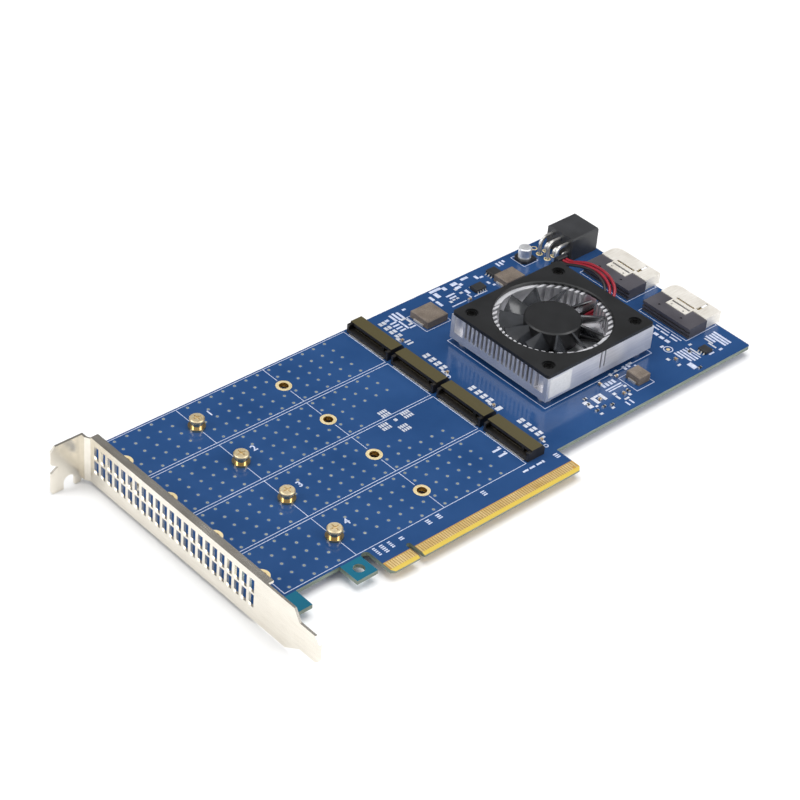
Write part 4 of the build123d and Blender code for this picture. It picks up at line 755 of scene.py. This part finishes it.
# Bracket
# Cold-rolled steel strip, punched, bent and plated bright. The rolling lines run along its
# length, its level flange shows the dim room, and its face shows the white table.
bracket_steel = plated_metal(
    "bright_plated_strip", "#E4DED2", "#F0EBE0", (0.22, 0.28), (1.2, 9.0, 1.2), 0.004 * MM,
)
zinc_screws = plated_metal("zinc_plated_screws", "#C9C3B4", "#E4DECF", (0.3, 0.42), (0.3, 0.3, 0.3))
dress(bracket_steel, "bracket")
dress(zinc_screws, "bracket_screws")


# Module posts and screws
# Turned brass, tinned pale, pressed into the board, each with its flat-head screw parked in
# it. The lathe leaves fine rings, and the waist mirrors the dark board.
turned_brass = plated_metal("turned_pale_brass", "#CDB68A", "#E8D6AE", (0.1, 0.18), (2.0, 2.0, 0.14))
screw_brass = plated_metal("pale_brass_screw_heads", "#DDC9A0", "#EFDFBC", (0.42, 0.55), (0.3, 0.3, 0.3))
dress(turned_brass, "module_posts")
dress(screw_brass, "module_screws")


# Module sockets
# Black liquid-crystal polymer housings, moulded with a fine grain; their level top is painted olive-brown,
# as a painted reflection. Sprung contacts line the slot, and their tinned feet are soldered front and back.
SOCKET_NUMBERS = range(1, 5)
SOCKET_TOP = 4.15 * MM
TOP_NORMAL = 0.6
GLOSS_SPREAD = 0.06
TAIL_PITCH = 0.5
TAIL_COUNT = 37
TAIL_SIZE = (0.75, 0.24)
TAIL_HEIGHT = 0.25
TAIL_ROWS = (59.55, 67.95)


def moulded_plastic(name, dark, pale, roughness, grain_mm, top=None):
    """Moulded plastic: spark-eroded grain, flow marks, and, if given, a painted reflection: another tone on
    its level top.
    """
    material, tree = new_material(name)
    coords = add_node(tree, "ShaderNodeTexCoord")
    flow = add_node(tree, "ShaderNodeTexNoise", {
        "Vector": coords.outputs["Object"], "Scale": 1 / (11.1 * MM), "Detail": 3.0,
    })
    tone = graded(tree, flow.outputs["Fac"], ((0.35, dark), (0.7, pale)))
    # painted reflection: upward faces above the given height take another, paler tone
    if top:
        code, height = top
        shape = add_node(tree, "ShaderNodeNewGeometry")
        facing = add_node(tree, "ShaderNodeSeparateXYZ", {"Vector": shape.outputs["Normal"]})
        spot = add_node(tree, "ShaderNodeSeparateXYZ", {"Vector": coords.outputs["Object"]})
        upward = add_node(tree, "ShaderNodeMath", {
            0: facing.outputs["Z"], 1: TOP_NORMAL,
        }, operation="GREATER_THAN")
        high = add_node(tree, "ShaderNodeMath", {0: spot.outputs["Z"], 1: height}, operation="GREATER_THAN")
        painted_reflection_on_top = add_node(tree, "ShaderNodeMath", {
            0: upward.outputs[0], 1: high.outputs[0],
        }, operation="MULTIPLY")
        mixed = add_node(tree, "ShaderNodeMix", {
            "Factor": painted_reflection_on_top.outputs[0], "A": tone, "B": linear(code),
        }, data_type="RGBA")
        tone = mixed.outputs["Result"]
    grain = add_node(tree, "ShaderNodeTexNoise", {
        "Vector": coords.outputs["Object"], "Scale": 1.0 / (grain_mm * MM), "Detail": 2.0,
    })
    relief = add_node(tree, "ShaderNodeBump", {
        "Height": grain.outputs["Fac"], "Strength": 0.4, "Distance": 0.03 * MM,
    })
    gloss = add_node(tree, "ShaderNodeMapRange", {
        "Value": flow.outputs["Fac"], "To Min": roughness - GLOSS_SPREAD, "To Max": roughness + GLOSS_SPREAD,
    })
    skin = add_node(tree, "ShaderNodeBsdfPrincipled", {
        "Base Color": tone, "Roughness": gloss.outputs["Result"], "IOR": 1.52,
        "Normal": relief.outputs["Normal"],
    })
    add_node(tree, "ShaderNodeOutputMaterial", {"Surface": skin.outputs["BSDF"]})
    return material


# the olive-brown on the level top is a painted reflection, not the colour of the plastic
socket_plastic = moulded_plastic(
    "black_liquid_crystal_polymer", "#110F0D", "#1C1814", 0.42, 0.35, top=("#4C4529", SOCKET_TOP),
)
spring_contacts = plated_metal("sprung_contacts", "#B3A88E", "#D6CDB6", (0.3, 0.4), (0.6, 0.2, 0.3))
tinned_feet = plated_metal("tinned_feet", "#CFCBC5", "#EFECE7", (0.48, 0.6), (0.3, 0.3, 0.3))
dress(socket_plastic, *[f"module_socket_{index}" for index in SOCKET_NUMBERS])
dress(spring_contacts, *[f"module_contacts_{index}" for index in SOCKET_NUMBERS])
feet = []
for near in MODULE_NEAR:
    middle = near + MODULE_WIDTH / 2
    for x in TAIL_ROWS:
        for step in range(TAIL_COUNT):
            feet.append((x, middle + (step - (TAIL_COUNT - 1) / 2) * TAIL_PITCH, *TAIL_SIZE))
blocks("socket_feet", feet, TAIL_HEIGHT, tinned_feet)


# Switch chip, thermal pad and heat sink
# The chip is hidden under the soft pad and the sink, an aluminium extrusion that was sawn to
# length, bored out for the fan and anodised clear, so drawn lines run along its fins.
STICKER_X = (86.9, 97.6)
STICKER_Z = (3.2, 11.2)
STICKER_THICKNESS = 0.12
STICKER_EDGE = 0.04
SINK_NEAR_FACE = 31.1
black_epoxy = moulded_plastic("moulded_chip_epoxy", "#1E1F21", "#2B2C2E", 0.5, 0.25)
silicone_pad = moulded_plastic("filled_silicone_pad", "#8B8F98", "#9DA1AA", 0.8, 0.4)
anodised = plated_metal(
    "clear_anodised_extrusion", "#DEDEE3", "#F4F4F6", (0.48, 0.6), (14.0, 0.5, 0.5), 0.01 * MM,
)
steel_screws = plated_metal("zinc_steel_screws", "#8E8E8E", "#B4B4B4", (0.3, 0.42), (0.3, 0.3, 0.3))
dress(black_epoxy, "switch_chip")
dress(silicone_pad, "thermal_pad")
dress(anodised, "heatsink")
dress(steel_screws, "heatsink_screws")

# a blank paper sticker on the near wall
paper_white = mottled(
    "coated_paper_label", "#ECECEC", "#F7F7F7", 0.45,
    cell=0.667 * MM, detail=3.0, strength=0.1, depth=0.02 * MM,
)
low_x, high_x = STICKER_X
low_z, high_z = STICKER_Z
outline = ((low_x, low_z), (high_x, low_z), (high_x, high_z), (low_x, high_z))
corners = [(x, y, z) for y in (SINK_NEAR_FACE - STICKER_THICKNESS, SINK_NEAR_FACE) for x, z in outline]
sticker = mesh_object(
    "blank_label",
    [tuple(value * MM for value in corner) for corner in corners],
    [(0, 1, 2, 3), (7, 6, 5, 4), (0, 4, 5, 1), (1, 5, 6, 2), (2, 6, 7, 3), (3, 7, 4, 0)],
    paper_white,
)
rounding = sticker.modifiers.new("soft_edges", "BEVEL")
rounding.width = STICKER_EDGE * MM
rounding.segments = 2
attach(sticker, "card")


# Fan cover and its screws
# A glass-filled black plate, spark-eroded to a fine even grain, with four countersunk black
# screws. It is the darkest large face of the card, and still greyer than the shadows under it.
cover_plastic = moulded_plastic("glass_filled_cover", "#151617", "#1D1E20", 0.42, 0.4)
black_oxide = plated_metal("black_oxide_screws", "#1C1C1C", "#2C2C2C", (0.35, 0.5), (0.4, 0.4, 0.4))
dress(cover_plastic, "fan_cover")
dress(black_oxide, "fan_cover_screws")


# Fan
# The impeller is one moulding, smoother than the cover, so its blades catch the light; its blades are
# painted lighter as a painted highlight and its hub darker as painted shade. Under its hub sit the ring
# magnet, the stator with four coils, the sleeve bearing and the base.
FAN_AXIS = (112.35, 55.5)
HUB_REACH = 10.45
impeller_plastic, tree = new_material("polished_impeller")
coords = add_node(tree, "ShaderNodeTexCoord")
flow = add_node(tree, "ShaderNodeTexNoise", {
    "Vector": coords.outputs["Object"], "Scale": 1 / (7.14 * MM), "Detail": 3.0,
})
in_plan = add_node(tree, "ShaderNodeVectorMath", {
    0: coords.outputs["Object"], 1: (1.0, 1.0, 0.0),
}, operation="MULTIPLY")
from_axis = add_node(tree, "ShaderNodeVectorMath", {
    0: in_plan.outputs["Vector"], 1: (FAN_AXIS[0] * MM, FAN_AXIS[1] * MM, 0.0),
}, operation="DISTANCE")
# the mould is left grained for the hub, but polished for the blades; the blades are also painted lighter, a
# painted highlight, and the hub darker, painted shade
hub_grained_and_painted_dark = add_node(tree, "ShaderNodeMath", {
    0: from_axis.outputs["Value"], 1: HUB_REACH * MM,
}, operation="LESS_THAN")
# painted highlight on the blades and painted shade on the hub, both of one and the same plastic
tone = add_node(tree, "ShaderNodeMix", {
    "Factor": hub_grained_and_painted_dark.outputs[0],
    "A": graded(tree, flow.outputs["Fac"], ((0.35, "#2B2D30"), (0.65, "#3A3C40"))),
    "B": graded(tree, flow.outputs["Fac"], ((0.35, "#141517"), (0.65, "#1C1D1F"))),
}, data_type="RGBA")
gloss = add_node(tree, "ShaderNodeMapRange", {"Value": hub_grained_and_painted_dark.outputs[0], "To Min": 0.13, "To Max": 0.4})
grain = add_node(tree, "ShaderNodeTexNoise", {
    "Vector": coords.outputs["Object"], "Scale": 1 / (0.91 * MM), "Detail": 2.0,
})
relief = add_node(tree, "ShaderNodeBump", {
    "Height": grain.outputs["Fac"], "Strength": 0.3, "Distance": 0.01 * MM,
})
skin = add_node(tree, "ShaderNodeBsdfPrincipled", {
    "Base Color": tone.outputs["Result"], "Roughness": gloss.outputs["Result"], "IOR": 1.58,
    "Normal": relief.outputs["Normal"],
})
add_node(tree, "ShaderNodeOutputMaterial", {"Surface": skin.outputs["BSDF"]})
base_plastic = moulded_plastic("fan_base_moulding", "#17181A", "#222326", 0.5, 0.4)
sintered_bronze = plated_metal("sintered_bronze", "#7A5A36", "#9A7446", (0.45, 0.6), (0.2, 0.2, 0.2))
lamination = plated_metal("stamped_lamination", "#5C5C5E", "#77777A", (0.4, 0.55), (0.5, 0.5, 0.15))
winding = plated_metal(
    "enamelled_copper_wire", "#8A3C1C", "#B9592B", (0.25, 0.4), (0.16, 0.16, 0.16), 0.1 * MM,
)
ground_steel = plated_metal("ground_steel_shaft", "#A9A9AA", "#C8C8CA", (0.15, 0.25), (1.0, 1.0, 0.1))
bonded_ferrite = moulded_plastic("bonded_ferrite", "#1D1B1B", "#2A2827", 0.6, 0.3)
dress(impeller_plastic, "fan_rotor")
dress(base_plastic, "fan_base")
dress(sintered_bronze, "fan_bearing")
dress(lamination, "fan_stator")
dress(winding, "fan_windings")
dress(ground_steel, "fan_shaft")
dress(bonded_ferrite, "fan_magnet")


# Fan header and plug
# Moulded black nylon: a shallow shroud soldered to the board, and the crimp housing that
# holds the ends of the strands and is pushed into it.
black_nylon = moulded_plastic("black_nylon", "#16161A", "#232327", 0.45, 0.3)
dress(black_nylon, "fan_header", "fan_plug")


# Power socket
# A heat-proof black housing with six ways. Its square pins are tinned brass, bent over a
# mandrel and left bright, so their curves carry the strongest lights on the card.
housing_plastic = moulded_plastic("flame_proof_nylon", "#2A2B2D", "#38393C", 0.42, 0.45)
bright_tin = plated_metal("bright_tinned_pins", "#E6E4DE", "#FAF8F4", (0.3, 0.42), (0.5, 0.5, 0.5))
dress(housing_plastic, "power_housing")
dress(bright_tin, "power_pins")


# Storage sockets
# Dark grey moulded backs with a stamped sleeve of bright nickel-plated steel round the mouth
# and a latch plate lying on top. Gold pads line both faces of the tongue inside.
storage_plastic = moulded_plastic("storage_socket_polymer", "#434147", "#525056", 0.4, 0.4)
shell_steel = plated_metal(
    "bright_stamped_shell", "#EFEAE0", "#FCF9F3", (0.58, 0.7), (4.0, 0.5, 0.5), 0.01 * MM,
)
dress(storage_plastic, "storage_body_1", "storage_body_2", "storage_wafer_1", "storage_wafer_2")
dress(shell_steel, "storage_shell_1", "storage_shell_2")
dress(contact_gold, "storage_contacts")


# Electrolytic capacitor
# A deep-drawn aluminium can, plain on top, crimped round its rubber bung and held by a
# moulded black foot that is soldered flat to the board.
drawn_can = plated_metal(
    "drawn_aluminium_can", "#E4E5E8", "#F6F7F9", (0.42, 0.55), (0.6, 0.6, 1.5), 0.01 * MM,
)
dress(drawn_can, "capacitor_can")
dress(black_nylon, "capacitor_base")


# Power inductors
# Iron powder pressed round a coil and baked: taupe, matt, with a coarse speckle, on two
# folded tinned ends.
INDUCTOR_END_HEIGHT = 0.9
# folded ends: middle X, middle Y, width, depth
INDUCTOR_ENDS = (
    (84.0, 93.7, 0.5, 5.0), (94.2, 93.7, 0.5, 5.0), (124.8, 93.7, 0.5, 3.6),
    (134.4, 93.7, 0.5, 3.6), (121.0, 22.9, 0.4, 3.6), (127.1, 22.9, 0.4, 3.6),
)
pressed_powder, tree = new_material("pressed_iron_powder")
coords = add_node(tree, "ShaderNodeTexCoord")
speckle = add_node(tree, "ShaderNodeTexVoronoi", {
    "Vector": coords.outputs["Object"], "Scale": 1 / (0.385 * MM),
})
bloom = add_node(tree, "ShaderNodeTexNoise", {
    "Vector": coords.outputs["Object"], "Scale": 1 / (3.85 * MM), "Detail": 4.0,
})
mixed = add_node(tree, "ShaderNodeMix", {
    "Factor": 0.6, "A": speckle.outputs["Distance"], "B": bloom.outputs["Fac"],
}, data_type="FLOAT")
tone = graded(tree, mixed.outputs["Result"], ((0.3, "#655A50"), (0.7, "#857A6F")))
relief = add_node(tree, "ShaderNodeBump", {
    "Height": speckle.outputs["Distance"], "Strength": 0.3, "Distance": 0.05 * MM,
})
skin = add_node(tree, "ShaderNodeBsdfPrincipled", {
    "Base Color": tone, "Roughness": 0.5, "Metallic": 0.15, "Normal": relief.outputs["Normal"],
})
add_node(tree, "ShaderNodeOutputMaterial", {"Surface": skin.outputs["BSDF"]})
dress(pressed_powder, "inductor_1", "inductor_2", "inductor_3")
blocks("inductor_ends", INDUCTOR_ENDS, INDUCTOR_END_HEIGHT, tinned_feet)


# Small chips
# Epoxy bodies on tinned gull-wing legs, and tan or black chips whose ends are dipped in silver
# and tinned. All are soldered to lands that they hide.
capacitor_tan = mottled(
    "fired_ceramic", "#8A7358", "#A88F70", 0.4,
    cell=2.5 * MM, detail=3.0, strength=0.15, depth=0.04 * MM,
)
dress(capacitor_tan, "ceramic_capacitors")
dress(black_epoxy, "chip_resistors", "chip_packages")
dress(bright_tin, "chip_leads", "chip_terminals")
